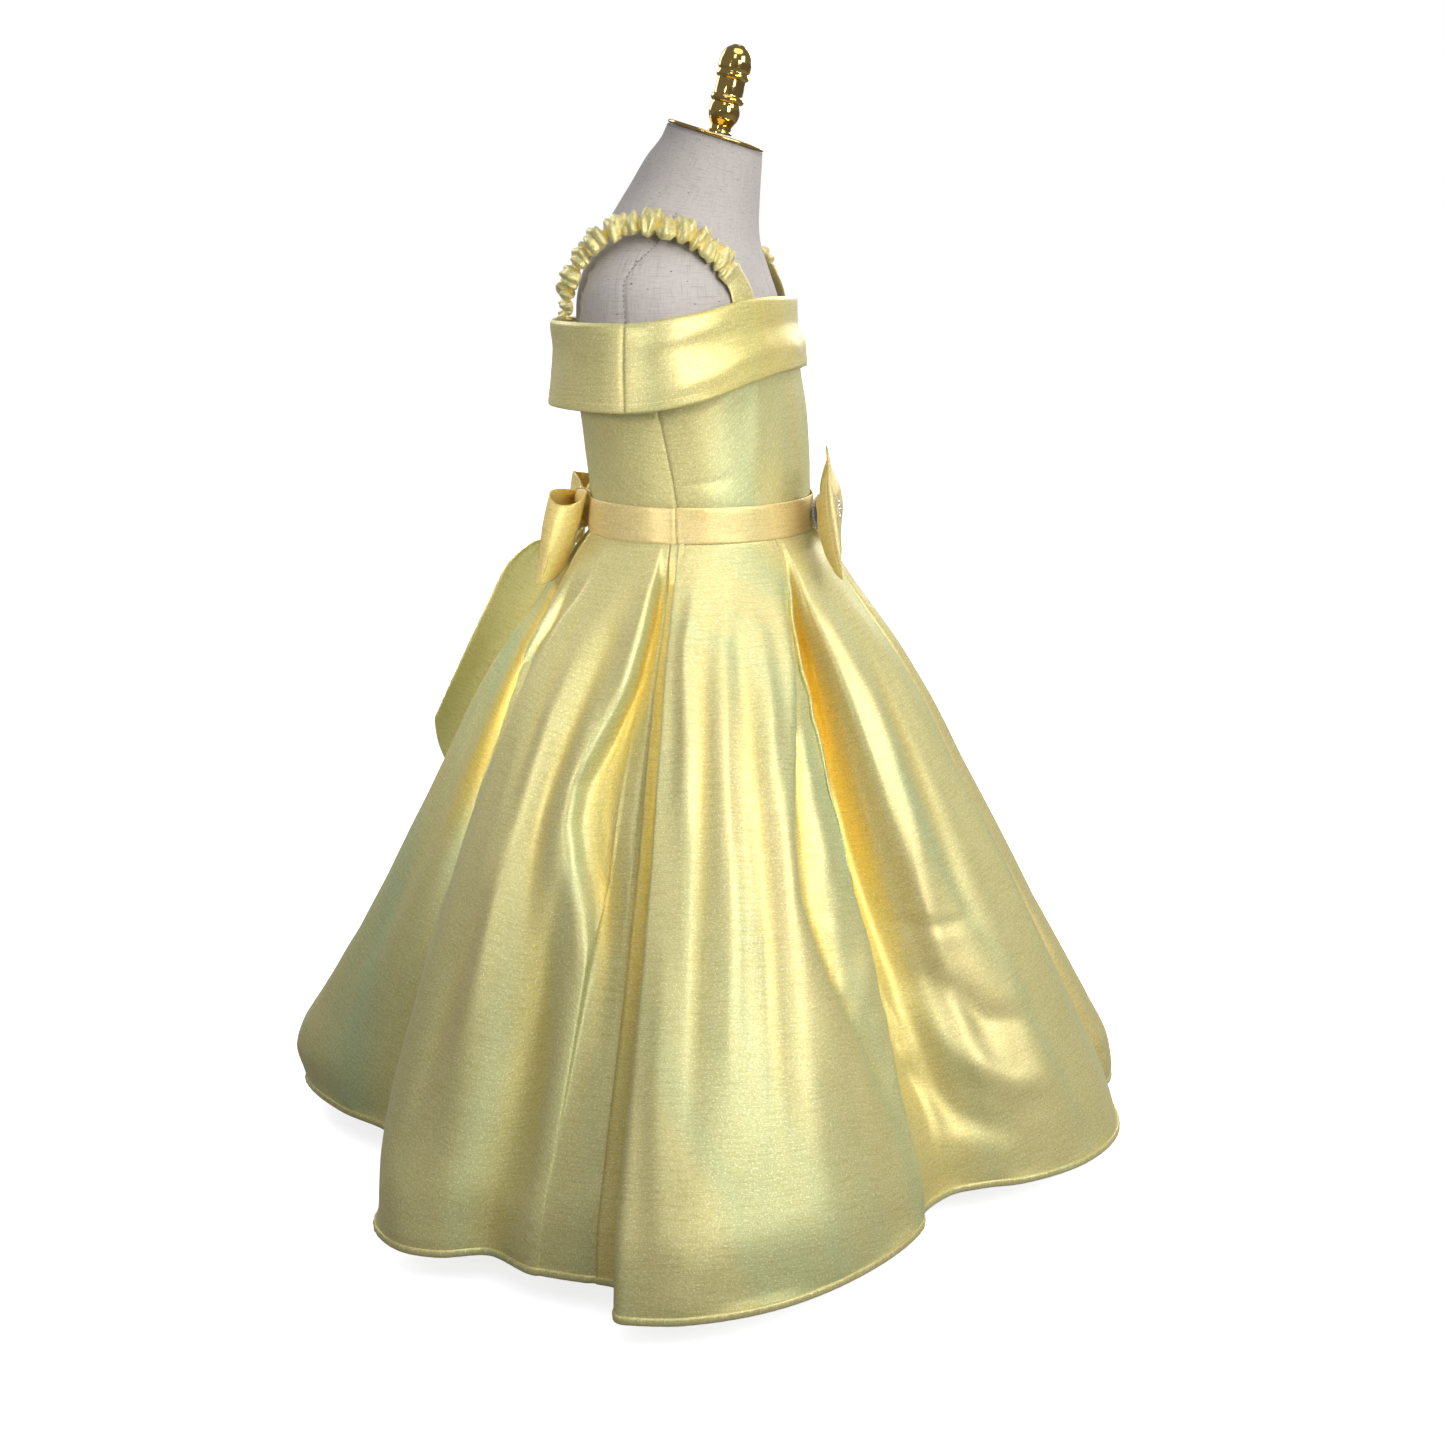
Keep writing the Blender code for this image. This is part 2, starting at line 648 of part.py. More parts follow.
# The form
def form_torso():
    levels, sides = 44, 56
    lo, hi = rows(FORM)[0][0], rows(FORM)[-1][0]
    points = []
    for j in range(levels + 1):
        z = lo + (hi - lo) * j / levels
        slope = follow(FORM, z, 6)
        for k in range(sides):
            psi = 2 * math.pi * k / sides
            r, cy = section(FORM, z, psi)
            p = around(psi, r, cy, z)
            p.z += slope * (p.y - cy)
            points.append(p)
    faces = [f[::-1] for f in grid_faces(levels + 1, sides, closed=True)]
    faces.append(tuple(range(sides)))
    faces.append(tuple(range(levels * sides, (levels + 1) * sides))[::-1])
    return piece("form_torso", points, faces, LINEN, 0.9)


def turned(name, profile, top, colour, rough, metal, sides=28):
    """A turned solid: rings of the profile, closed flat below and by a point or ring above."""
    points, faces = [], []
    for r, h in profile:
        for k in range(sides):
            a = 2 * math.pi * k / sides
            points.append(Vector((r * math.cos(a), r * math.sin(a), h)))
    faces += grid_faces(len(profile), sides, closed=True)
    faces.append(tuple(range(sides))[::-1])
    last = (len(profile) - 1) * sides
    if top is None:
        faces.append(tuple(range(last, last + sides)))
    else:
        points.append(Vector((0, 0, top)))
        tip = len(points) - 1
        faces += [(last + k, last + (k + 1) % sides, tip) for k in range(sides)]
    return piece(name, points, faces, colour, rough, metal)


def place(o, matrix):
    o.data.transform(matrix)
    return o


def build():
    for o in list(bpy.data.objects):
        bpy.data.objects.remove(o)
    front_end = row_at(90.0)
    back = row_at(180.0)
    left = row_at(270.0)
    count = len(rows(PLEATS))
    skirt_piece("skirt_front", left - count, front_end)
    skirt_piece("skirt_back_right", front_end, back)
    skirt_piece("skirt_back_left", back, left)

    bodice_piece("bodice_front", -1, 1, 26)
    bodice_piece("bodice_back_right", 1, 2, 13)
    bodice_piece("bodice_back_left", 2, 3, 13)

    cuff_piece("cuff_front", -95, 95, 26)
    cuff_piece("cuff_back_right", 95, 180, 12)
    cuff_piece("cuff_back_left", 180, 265, 12)

    band_piece("waistband_front", -88, 88, 28)
    band_piece("waistband_back_right", 88, 180, 14)
    band_piece("waistband_back_left", 180, 272, 14)

    strap("strap_right", -1)
    strap("strap_left", 1)

    for side, forward, lift in rows(BOW_WINGS):
        bow_wing("bow_wing_right" if side < 0 else "bow_wing_left", side, forward, lift)
    clasp = Vector((0, BOW_Y, BOW_Z))
    ring("bow_clasp", CLASP_HALF, CLASP_OUTER, CLASP_INNER, clasp, SILVER, 0.2, 1.0)

    knot("sash_knot")
    for side, out, droop, tall, thick in rows(LOOPS):
        sash_loop("sash_loop_right" if side < 0 else "sash_loop_left", side, out, droop, tall, thick)
    sash_tail("sash_tail_right", TAIL_RIGHT)
    sash_tail("sash_tail_left", TAIL_LEFT)

    form_torso()
    neck = Vector((0, rows(FORM)[-1][1], rows(FORM)[-1][0]))
    tilt = Matrix.Rotation(PLATE_TILT, 4, "X")
    edge = 0.0006
    high = PLATE_THICK - edge
    disc = [(PLATE_R - edge, 0), (PLATE_R, edge), (PLATE_R, high), (PLATE_R - edge, PLATE_THICK)]
    plate = turned("neck_plate", disc, None, BRASS, 0.2, 1.0, 48)
    lift = Vector((0, 0, GAP))
    place(plate, Matrix.Translation(neck) @ tilt @ Matrix.Translation(lift))
    profile = [(r / 1000, h / 1000 * FINIAL_SCALE) for r, h in rows(FINIAL)]
    finial = turned("finial", profile, FINIAL_TOP * FINIAL_SCALE, BRASS, 0.15, 1.0)
    seat = Vector((0, -FINIAL_FORWARD, PLATE_THICK + 2 * GAP + 0.0005))
    lean = Matrix.Rotation(FINIAL_TILT - PLATE_TILT, 4, "X")
    place(finial, Matrix.Translation(neck) @ tilt @ Matrix.Translation(seat) @ lean)

    low = rows(FORM)[0][0]
    pole = [(POLE_R, BASE_TALL + GAP), (POLE_R, low - GAP)]
    turned("stand_pole", pole, None, BRASS, 0.3, 1.0)
    base = [(BASE_R, 0), (BASE_R, BASE_TALL - 0.003), (BASE_R - 0.003, BASE_TALL)]
    turned("stand_base", base, None, (0.3, 0.3, 0.3), 0.5, 0.0, 48)


build()
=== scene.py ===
import math

import bpy
import numpy as np
from mathutils import Matrix, Vector, noise


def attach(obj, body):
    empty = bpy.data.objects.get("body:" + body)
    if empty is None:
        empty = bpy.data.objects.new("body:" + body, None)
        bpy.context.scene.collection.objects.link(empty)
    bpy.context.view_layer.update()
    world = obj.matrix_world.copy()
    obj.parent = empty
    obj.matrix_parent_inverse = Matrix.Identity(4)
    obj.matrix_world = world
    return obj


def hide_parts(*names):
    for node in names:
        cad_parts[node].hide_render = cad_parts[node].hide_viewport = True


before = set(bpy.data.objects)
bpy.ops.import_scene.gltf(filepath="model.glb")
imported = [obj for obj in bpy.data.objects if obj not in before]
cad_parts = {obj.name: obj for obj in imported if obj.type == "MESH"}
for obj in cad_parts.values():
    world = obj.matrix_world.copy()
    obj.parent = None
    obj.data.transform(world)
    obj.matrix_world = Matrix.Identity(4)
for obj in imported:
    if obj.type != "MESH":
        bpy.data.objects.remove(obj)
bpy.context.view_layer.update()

bl_info = {
    "name": "Ball gown on a dress form",
    "version": (1, 0, 0),
    "blender": (4, 5, 0),
    "location": "View3D > Sidebar > Gown",
    "description": "Builds a child's ball gown and its dress form, piece by piece",
    "category": "Object",
}

# Heights and walls that the solids have too, in metres
HEM_Z = 0.025
WAIST_Z = 0.4665
BAND_TOP_Z = 0.4920
BAND_OVER = 0.0009
GAP = 0.0003
WAIST_HALF_X = 0.0984
WAIST_HALF_Y = 0.0818
CUFF_CY = 0.013
SASH_Z = 0.4785
SASH_Y = 0.0930
# How far the cloth stands off the form and laps, in metres, and where it hangs over the hips
BODICE_OFF_FORM = 0.0031
SKIRT_OFF_FORM = 0.0045
FOLDS_OFF_FORM = 0.0040
TUCK_UP = 0.0016
LAP_UNDER = 0.0015
STITCH_LIFT = 0.0001
HIP = (0.370, 0.455)
HIP_FOLDS = (0.375, 0.457)
# Walls of the pieces whose cloth has one thickness, in metres
BAND_WALL = 0.0006
WING_WALL = 0.0008
LOOP_WALL = 0.0010
TAIL_WALL = 0.0011
# Share of a panel's width that has closer columns at each seam, and how many
SEAM_SHARE = 0.006
SEAM_STEPS = 5

# Sections by height: cy is the centre's y, a the half width, bf and bb the half depths to the
# front and the back, n the oval's power, and slope how far the section leans
FORM = (
    ("z", "cy", "a", "bf", "bb", "n", "slope"),
    (0.385, 0.002, 0.0915, 0.0770, 0.0800, 2.1, 0.0),
    (0.400, 0.002, 0.0945, 0.0795, 0.0830, 2.1, 0.0),
    (0.430, 0.001, 0.0955, 0.0795, 0.0820, 2.1, 0.0),
    (0.455, 0.000, 0.0942, 0.0772, 0.0780, 2.0, 0.0),
    (0.478, 0.000, 0.0932, 0.0762, 0.0762, 2.0, 0.0),
    (0.492, 0.000, 0.0932, 0.0762, 0.0762, 2.0, 0.0),
    (0.516, 0.002, 0.0945, 0.0770, 0.0770, 2.0, 0.0),
    (0.552, 0.005, 0.0978, 0.0770, 0.0775, 2.0, 0.0),
    (0.575, 0.008, 0.1050, 0.0760, 0.0770, 2.0, 0.0),
    (0.595, 0.010, 0.1130, 0.0725, 0.0755, 2.1, 0.0),
    (0.615, 0.012, 0.1180, 0.0690, 0.0725, 2.15, 0.0),
    (0.633, 0.014, 0.1165, 0.0652, 0.0690, 2.2, 0.0),
    (0.650, 0.015, 0.1080, 0.0605, 0.0640, 2.2, 0.0),
    (0.664, 0.014, 0.0940, 0.0560, 0.0600, 2.1, 0.02),
    (0.677, 0.011, 0.0760, 0.0515, 0.0565, 2.0, 0.06),
    (0.690, 0.007, 0.0600, 0.0475, 0.0515, 2.0, 0.12),
    (0.703, 0.001, 0.0490, 0.0422, 0.0475, 2.0, 0.20),
    (0.718, -0.004, 0.0415, 0.0380, 0.0420, 2.0, 0.27),
    (0.731, -0.008, 0.0365, 0.0350, 0.0355, 2.0, 0.31),
    (0.7408, -0.0103, 0.0340, 0.0332, 0.0332, 2.0, 0.317),
)
BODICE = (
    ("z", "cy", "a", "bf", "bb", "n"),
    (0.492, 0.000, 0.0964, 0.0796, 0.0800, 2.0),
    (0.516, 0.002, 0.0978, 0.0797, 0.0803, 2.0),
    (0.552, 0.005, 0.1008, 0.0797, 0.0812, 2.0),
    (0.575, 0.008, 0.1055, 0.0792, 0.0825, 2.0),
    (0.595, 0.010, 0.1105, 0.0778, 0.0842, 2.0),
    (0.615, 0.012, 0.1155, 0.0770, 0.0870, 2.0),
    (0.633, 0.014, 0.1195, 0.0785, 0.0885, 2.0),
)
CUFF = (
    ("share", "a", "bf", "bb"),
    (0.00, 0.1265, 0.0795, 0.0922),
    (0.07, 0.1290, 0.0802, 0.0928),
    (0.35, 0.1298, 0.0808, 0.0905),
    (0.70, 0.1300, 0.0868, 0.0925),
    (1.00, 0.1295, 0.0885, 0.0958),
)
# Heights of the cuff's and the bodice's edges by degrees from the front to the back
CUFF_EDGE = (
    ("deg", "top", "bottom"),
    (0, 0.6330, 0.5840),
    (30, 0.6330, 0.5820),
    (50, 0.6315, 0.5765),
    (75, 0.6225, 0.5630),
    (95, 0.6165, 0.5570),
    (130, 0.6170, 0.5580),
    (180, 0.6180, 0.5590),
)
BODICE_EDGE = (
    ("deg", "top"),
    (0, 0.6300),
    (34, 0.6290),
    (46, 0.6050),
    (60, 0.5900),
    (75, 0.5720),
    (90, 0.5680),
    (108, 0.5720),
    (128, 0.5960),
    (148, 0.6130),
    (180, 0.6140),
)
# How much of the skirt's spread it has at each share of its height
FLARE = (
    ("t", "share"),
    (0.00, 0.000),
    (0.04, 0.062),
    (0.10, 0.140),
    (0.19, 0.255),
    (0.30, 0.375),
    (0.40, 0.468),
    (0.57, 0.635),
    (0.74, 0.800),
    (0.84, 0.896),
    (0.92, 0.968),
    (1.00, 1.000),
)
# Crests, pleat edges and hollows of the skirt, from the front round by the wearer's right:
# degrees at the waist and the hem, the hem's radius in mm, how far the fold is drawn in (mm),
# the share of the height where it is at its deepest, and how far the cloth bells out (mm)
PLEATS = (
    ("waist", "hem", "radius", "fold", "full", "bell"),
    (0.0, -8.0, 311, 9, 0.25, -3),
    (2.0, -4.0, 318, 1, 0.25, -4),
    (12.0, 5.0, 325, 0, 0.25, -4),
    (25.0, 15.0, 313, 0, 0.25, -3),
    (36.5, 25.0, 287, 0, 0.25, -2),
    (37.6, 30.0, 269, 8, 0.25, 0),
    (39.3, 36.0, 258, 21, 0.22, 0),
    (41.8, 42.5, 264, 15, 0.22, 0),
    (41.2, 46.5, 283, 0, 0.25, 0),
    (52.0, 58.0, 312, 0, 0.25, 0),
    (65.0, 70.0, 339, 0, 0.25, 0),
    (78.0, 80.0, 353, 0, 0.06, 0),
    (85.5, 85.3, 354, 0, 0.06, 0),
    (86.6, 86.6, 343, 1, 0.06, 0),
    (84.8, 84.8, 322, 9, 0.07, 0),
    (90.0, 90.0, 312, 12, 0.07, 0),
    (92.6, 96.5, 312, 8, 0.07, 0),
    (94.4, 98.0, 313, 0, 0.06, 0),
    (100.0, 104.5, 303, 0, 0.25, 0),
    (112.0, 110.0, 322, 0, 0.25, 0),
    (124.0, 115.0, 330, 0, 0.25, 0),
    (137.0, 120.0, 324, 0, 0.25, 0),
    (146.9, 123.4, 307, 0, 0.25, 0),
    (145.8, 124.5, 289, 10, 0.25, 0),
    (148.5, 135.0, 252, 21, 0.25, 0),
    (151.0, 146.5, 254, 9, 0.25, 0),
    (155.0, 156.0, 284, 0, 0.25, 6),
    (165.0, 167.0, 316, 0, 0.25, 12),
    (175.0, 174.5, 319, 0, 0.25, 12),
    (179.0, 178.5, 307, 3, 0.25, 8),
    (180.0, 181.5, 294, 12, 0.25, 4),
    (181.0, 185.0, 303, 3, 0.25, 8),
    (190.0, 194.0, 319, 0, 0.25, 8),
    (203.0, 204.0, 309, 0, 0.25, 0),
    (210.8, 211.0, 283, 2, 0.25, 0),
    (212.0, 217.0, 263, 17, 0.25, 0),
    (213.2, 223.0, 276, 2, 0.25, 0),
    (225.0, 234.0, 312, 0, 0.25, 0),
    (240.0, 246.0, 331, 0, 0.25, 0),
    (255.0, 256.0, 320, 0, 0.06, 0),
    (266.8, 264.0, 302, 0, 0.06, 0),
    (267.6, 267.5, 294, 6, 0.06, 0),
    (270.0, 271.0, 291, 8, 0.06, 0),
    (272.4, 275.0, 299, 6, 0.06, 0),
    (273.2, 279.0, 313, 0, 0.06, 0),
    (285.0, 289.0, 340, 0, 0.25, 0),
    (300.0, 301.0, 344, 0, 0.25, 0),
    (312.0, 311.0, 319, 0, 0.25, 0),
    (319.6, 318.0, 286, 2, 0.25, 0),
    (320.8, 323.5, 266, 17, 0.25, 0),
    (322.0, 329.0, 281, 2, 0.25, 0),
    (333.0, 336.0, 312, 0, 0.25, 0),
    (347.0, 345.0, 327, 0, 0.25, 0),
    (358.0, 350.0, 321, 1, 0.25, 0),
)
# Open pleats: how deep in mm, and the rows between which the floor is laid straight, if any.
# Then, going down: height, degree of the folded edge, degree of the far side, and the shares
# of the depth and of the folded edge's lift that the pleat has there
HOLLOWS = (
    (
        11.0,
        (84.8, 112.0),
        (0.458, 94.4, 87.6, 0.0, 0.0),
        (0.440, 94.8, 87.6, 0.5, 0.3),
        (0.410, 95.2, 87.6, 0.8, 0.7),
        (0.376, 97.0, 87.8, 1.0, 1.0),
        (0.344, 101.2, 88.0, 1.0, 1.0),
        (0.314, 104.6, 88.0, 1.0, 1.0),
        (0.290, 104.4, 88.0, 0.9, 0.9),
        (0.266, 102.0, 88.0, 0.8, 0.8),
        (0.240, 98.5, 88.0, 0.5, 0.5),
        (0.205, 96.0, 88.0, 0.2, 0.1),
        (0.150, 95.0, 88.0, 0.0, 0.0),
    ),
    (
        8.0,
        None,
        (0.458, 44.6, 38.0, 0.0, 0.0),
        (0.440, 47.0, 38.0, 0.4, 0.3),
        (0.420, 49.4, 38.0, 0.8, 0.6),
        (0.386, 52.0, 37.0, 1.0, 0.8),
        (0.332, 56.8, 37.0, 1.0, 0.8),
        (0.290, 60.0, 38.0, 0.9, 0.7),
        (0.250, 61.0, 42.0, 0.8, 0.6),
        (0.174, 55.0, 40.0, 0.8, 0.5),
        (0.102, 48.6, 36.0, 0.5, 0.3),
        (0.050, 47.0, 36.0, 0.0, 0.0),
    ),
    (
        7.5,
        None,
        (0.458, 121.0, 133.0, 0.0, 0.0),
        (0.440, 121.5, 135.0, 0.5, 0.3),
        (0.412, 124.5, 138.5, 1.0, 0.6),
        (0.382, 127.0, 141.0, 1.0, 0.6),
        (0.354, 128.0, 141.5, 1.0, 0.6),
        (0.328, 127.8, 140.0, 0.9, 0.5),
        (0.300, 127.0, 138.5, 0.7, 0.4),
        (0.255, 125.5, 136.0, 0.3, 0.2),
        (0.190, 124.0, 134.0, 0.0, 0.0),
    ),
    (
        8.0,
        None,
        (0.458, 266.6, 272.4, 0.0, 0.0),
        (0.420, 265.0, 272.4, 0.7, 0.5),
        (0.370, 262.0, 272.2, 1.0, 1.0),
        (0.320, 258.0, 272.0, 1.0, 1.0),
        (0.270, 258.0, 272.0, 0.8, 0.7),
        (0.200, 264.0, 272.0, 0.0, 0.0),
    ),
    (
        7.0,
        None,
        (0.458, 317.0, 322.0, 0.0, 0.0),
        (0.420, 312.0, 322.0, 0.8, 0.6),
        (0.360, 308.0, 322.0, 1.0, 0.8),
        (0.290, 304.0, 322.0, 0.9, 0.7),
        (0.200, 306.0, 320.0, 0.7, 0.4),
        (0.080, 312.0, 320.0, 0.0, 0.0),
    ),
)
# Places beside a pleat's mouth where the fold's gold is painted on as shade and bounced light:
# degree, half width, the heights that it runs between, and how much
PAINTED_FOLD_GOLD = (
    (153.5, 4.0, 0.270, 0.440, 0.95),
    (214.0, 4.0, 0.280, 0.440, 0.6),
)
# The same painted fold shade on the cuff, on both sides of the front
CUFF_PAINTED_FOLD_GOLD = (42.0, 26.0, 0.42)
# What a place of the skirt is compared with to tell how deep in a fold it lies, for the painted
# fold shade: an angle to either side in radians, and the depth in metres that counts as full
FOLD_REACHES = ((0.05, 0.007), (0.11, 0.016), (0.20, 0.032))
# Soft creases: rise and half width in mm, then the places that each runs through, as degrees
# and a height. The skirt's are fuller than the table says by CREASE_FULLER
CREASE_FULLER = 1.25
SKIRT_CREASES = (
    (3.0, 5.5, (78.1, 0.458), (82.0, 0.405), (80.6, 0.350), (81.0, 0.290)),
    (3.2, 7.0, (65.0, 0.458), (72.0, 0.405), (73.6, 0.345), (73.0, 0.240), (74.0, 0.150)),
    (-2.5, 8.0, (57.0, 0.290), (58.5, 0.240), (54.5, 0.174), (48.2, 0.102), (44.0, 0.060)),
    (3.0, 12.0, (46.0, 0.240), (47.0, 0.180), (43.0, 0.120)),
    (-3.0, 8.0, (67.0, 0.420), (66.0, 0.330), (67.0, 0.200), (68.0, 0.080)),
    (2.6, 8.0, (59.0, 0.420), (62.0, 0.360), (66.5, 0.300)),
    (-2.4, 6.0, (78.0, 0.400), (77.0, 0.340), (78.0, 0.240), (79.0, 0.110)),
    (2.0, 8.0, (82.5, 0.240), (83.0, 0.150), (82.0, 0.060)),
    (-2.2, 8.0, (104.0, 0.420), (107.5, 0.360), (110.0, 0.290), (109.0, 0.210)),
    (2.4, 9.0, (112.0, 0.440), (114.0, 0.370), (116.0, 0.280), (113.5, 0.190), (112.0, 0.110)),
    (4.0, 16.0, (113.0, 0.270), (111.5, 0.180), (110.0, 0.100), (109.0, 0.050)),
    (-4.5, 13.0, (103.5, 0.220), (102.5, 0.140), (101.5, 0.060)),
    (-3.6, 13.0, (119.0, 0.250), (117.5, 0.160), (116.0, 0.060)),
    (2.2, 9.0, (126.0, 0.440), (122.5, 0.370), (119.5, 0.280), (118.5, 0.180)),
    (-1.6, 4.0, (35.6, 0.206), (30.0, 0.2055), (20.0, 0.205)),
    (3.0, 9.0, (33.0, 0.430), (27.0, 0.360), (27.5, 0.280), (29.0, 0.190)),
    (-2.6, 10.0, (22.0, 0.400), (20.0, 0.320), (21.0, 0.230), (18.0, 0.150)),
    (2.4, 12.0, (12.0, 0.420), (9.0, 0.320), (8.0, 0.200), (7.0, 0.110)),
    (4.6, 13.0, (35.0, 0.160), (30.0, 0.118), (24.0, 0.096), (14.0, 0.090)),
    (-3.2, 10.0, (32.0, 0.180), (25.0, 0.140), (15.0, 0.128)),
    (-3.0, 10.0, (38.0, 0.120), (32.0, 0.076), (24.0, 0.058)),
    (-2.2, 10.0, (160.0, 0.420), (161.0, 0.330), (160.0, 0.220), (162.0, 0.120)),
    (2.4, 12.0, (169.0, 0.400), (170.0, 0.280), (171.0, 0.150)),
    (2.4, 10.0, (194.0, 0.430), (196.0, 0.330), (199.0, 0.230), (198.0, 0.130)),
    (-2.4, 12.0, (226.0, 0.420), (229.0, 0.330), (232.0, 0.220), (233.0, 0.110)),
    (2.8, 10.0, (237.0, 0.440), (240.0, 0.340), (243.0, 0.240), (243.0, 0.140)),
    (-2.0, 9.0, (249.0, 0.400), (252.0, 0.300), (252.0, 0.180)),
    (2.4, 8.0, (281.0, 0.440), (280.0, 0.370), (282.0, 0.280), (284.0, 0.180)),
    (-2.6, 10.0, (292.0, 0.420), (291.0, 0.320), (293.0, 0.210), (294.0, 0.100)),
    (3.0, 10.0, (303.0, 0.440), (301.0, 0.350), (302.0, 0.250), (303.0, 0.150)),
    (-3.0, 10.0, (312.0, 0.300), (309.0, 0.220), (313.0, 0.140)),
    (2.8, 9.0, (330.0, 0.430), (333.0, 0.360), (333.0, 0.270), (331.0, 0.180)),
    (-2.2, 11.0, (342.0, 0.400), (341.0, 0.300), (340.0, 0.180)),
    (2.4, 11.0, (352.0, 0.420), (350.0, 0.310), (347.0, 0.180)),
)
# Path of the right strap from its front end, in mm, with its half width and half thickness
STRAP = (
    ("x", "y", "z", "half_w", "half_t"),
    (-69.6, -46.4, 622, 9.0, 1.2),
    (-71.2, -43.8, 635, 10.5, 1.6),
    (-77.0, -34.5, 653, 10.0, 2.3),
    (-83.5, -19.5, 668, 9.5, 3.0),
    (-87.5, -1.0, 677, 9.5, 3.2),
    (-89.0, 20.0, 680, 9.5, 3.2),
    (-89.5, 42.0, 675, 9.5, 3.2),
    (-88.0, 60.0, 661, 9.5, 3.0),
    (-85.0, 72.0, 643, 9.5, 3.0),
    (-82.5, 76.2, 625, 9.0, 2.0),
    (-81.0, 76.8, 609, 9.0, 1.4),
)
# Front bow and clasp, in metres
BOW_Z = 0.4800
BOW_Y = -0.0924
BOW_IN = 0.0065
BOW_OUT = 0.0620
BOW_TALL = 0.0830
BOW_WAIST = 0.0140
CLASP_HALF = 0.0080
CLASP_OUTER = (0.0097, 0.0142)
CLASP_INNER = (0.0048, 0.0104)
# How full a ribbon's loop is at its end: 1 is round, and less is squarer
LOOP_POWER = 0.62
BOW_WINGS = (
    ("side", "forward", "lift"),
    (-1, 0.0150, 0.0015),
    (1, -0.0045, 0.0010),
)
LOOP_IN = 0.0088
LOOPS = (
    ("side", "out", "droop", "tall", "thick"),
    (-1, 0.064, 0.020, 0.058, 0.033),
    (1, 0.066, 0.009, 0.056, 0.026),
)
# Inner and outer edge of each sash end going down, and how far each stands off the skirt
TAIL_RIGHT = (
    ("z_in", "x_in", "off_in", "z_out", "x_out", "off_out"),
    (0.4622, -0.0005, 0.0085, 0.4622, -0.0080, 0.0085),
    (0.4500, 0.006, 0.0100, 0.4530, -0.0125, 0.0330),
    (0.4300, 0.014, 0.0080, 0.4360, -0.0150, 0.0420),
    (0.3950, 0.021, 0.0070, 0.4050, -0.0150, 0.0370),
    (0.3450, 0.026, 0.0065, 0.3700, -0.0140, 0.0320),
    (0.2950, 0.028, 0.0065, 0.3400, -0.0130, 0.0300),
    (0.2560, 0.030, 0.0070, 0.3130, -0.0120, 0.0300),
)
TAIL_LEFT = (
    ("z_in", "x_in", "off_in", "z_out", "x_out", "off_out"),
    (0.4622, 0.0080, 0.0085, 0.4622, 0.0005, 0.0085),
    (0.4460, 0.0190, 0.0090, 0.4440, 0.0330, 0.0120),
    (0.4200, 0.0290, 0.0060, 0.4180, 0.0600, 0.0110),
    (0.3700, 0.0380, 0.0055, 0.3740, 0.0840, 0.0110),
    (0.3200, 0.0440, 0.0060, 0.3330, 0.0970, 0.0110),
    (0.2750, 0.0480, 0.0070, 0.2980, 0.1050, 0.0120),
    (0.2350, 0.0520, 0.0080, 0.2750, 0.1110, 0.0130),
)
# Neck plate, finial and stand. The finial's table is in mm
PLATE_TILT = math.radians(17.6)
FINIAL_TILT = math.radians(14.0)
FINIAL_FORWARD = 0.0020
PLATE_R = 0.0350
PLATE_THICK = 0.0026
FINIAL = (
    ("r", "h"),
    (8.6, 0.0),
    (8.6, 1.3),
    (7.3, 2.2),
    (7.3, 5.2),
    (8.4, 7.6),
    (10.2, 11.0),
    (10.9, 15.5),
    (10.5, 19.8),
    (9.9, 21.6),
    (11.2, 22.6),
    (11.8, 24.4),
    (11.2, 26.2),
    (9.9, 27.2),
    (10.0, 33.0),
    (9.9, 38.4),
    (11.0, 39.2),
    (11.5, 41.0),
    (11.0, 42.8),
    (10.6, 43.8),
    (11.4, 46.0),
    (11.5, 50.0),
    (10.6, 54.8),
    (8.2, 59.0),
    (4.6, 61.7),
)
FINIAL_TOP = 0.0626
FINIAL_SCALE = 0.96
POLE_R = 0.0110
BASE_R = 0.1200
BASE_TALL = 0.0120
# Metres of cloth coordinate for each radian round the form
CLOTH_ROUND = 0.09
# Studio: name, place, what it points at, width, watts, spread in degrees, colour
LAMPS = (
    ("key", (-0.80, -1.95, 1.35), (0, 0, 0.45), 0.8, 11, 140, (1.0, 0.98, 0.95)),
    ("front", (-1.42, -1.33, 0.90), (0, 0, 0.66), 0.6, 1.22, 44, (1.0, 0.99, 0.96)),
    ("side", (-2.2, -0.3, 2.3), (0, 0, 0.40), 0.7, 2.0, 120, (0.90, 1.0, 0.99)),
    ("fill", (-1.3, 0.55, 0.75), (0.0, 0.17, 0.45), 0.3, 0.36, 24, (1.0, 0.98, 0.95)),
    ("left", (1.9, -0.5, 1.3), (0, 0, 0.40), 1.0, 10, 140, (1.0, 1.0, 1.0)),
    ("back", (1.4, 1.8, 1.7), (0, 0, 0.40), 1.2, 9, 140, (1.0, 1.0, 1.0)),
)
SKY_POWER = 1.15
SKY_ANGLE = math.radians(50)
SKY_WAY = (0.25, 0.30, -1)
ROOM_COLOUR = (0.92, 0.95, 1.0, 1)
ROOM_POWER = 0.25
FLOOR_HALF = 30.0
# The photograph's camera: place, direction on the floor, pitch down, and lens in mm
CAMERA_AT = (-1.297776, -0.291390, 0.641675)
CAMERA_WAY = (0.97815, 0.20791)
CAMERA_PITCH = math.radians(13.7115)
CAMERA_LENS = 44.8775
CAMERA_SENSOR = 36.0


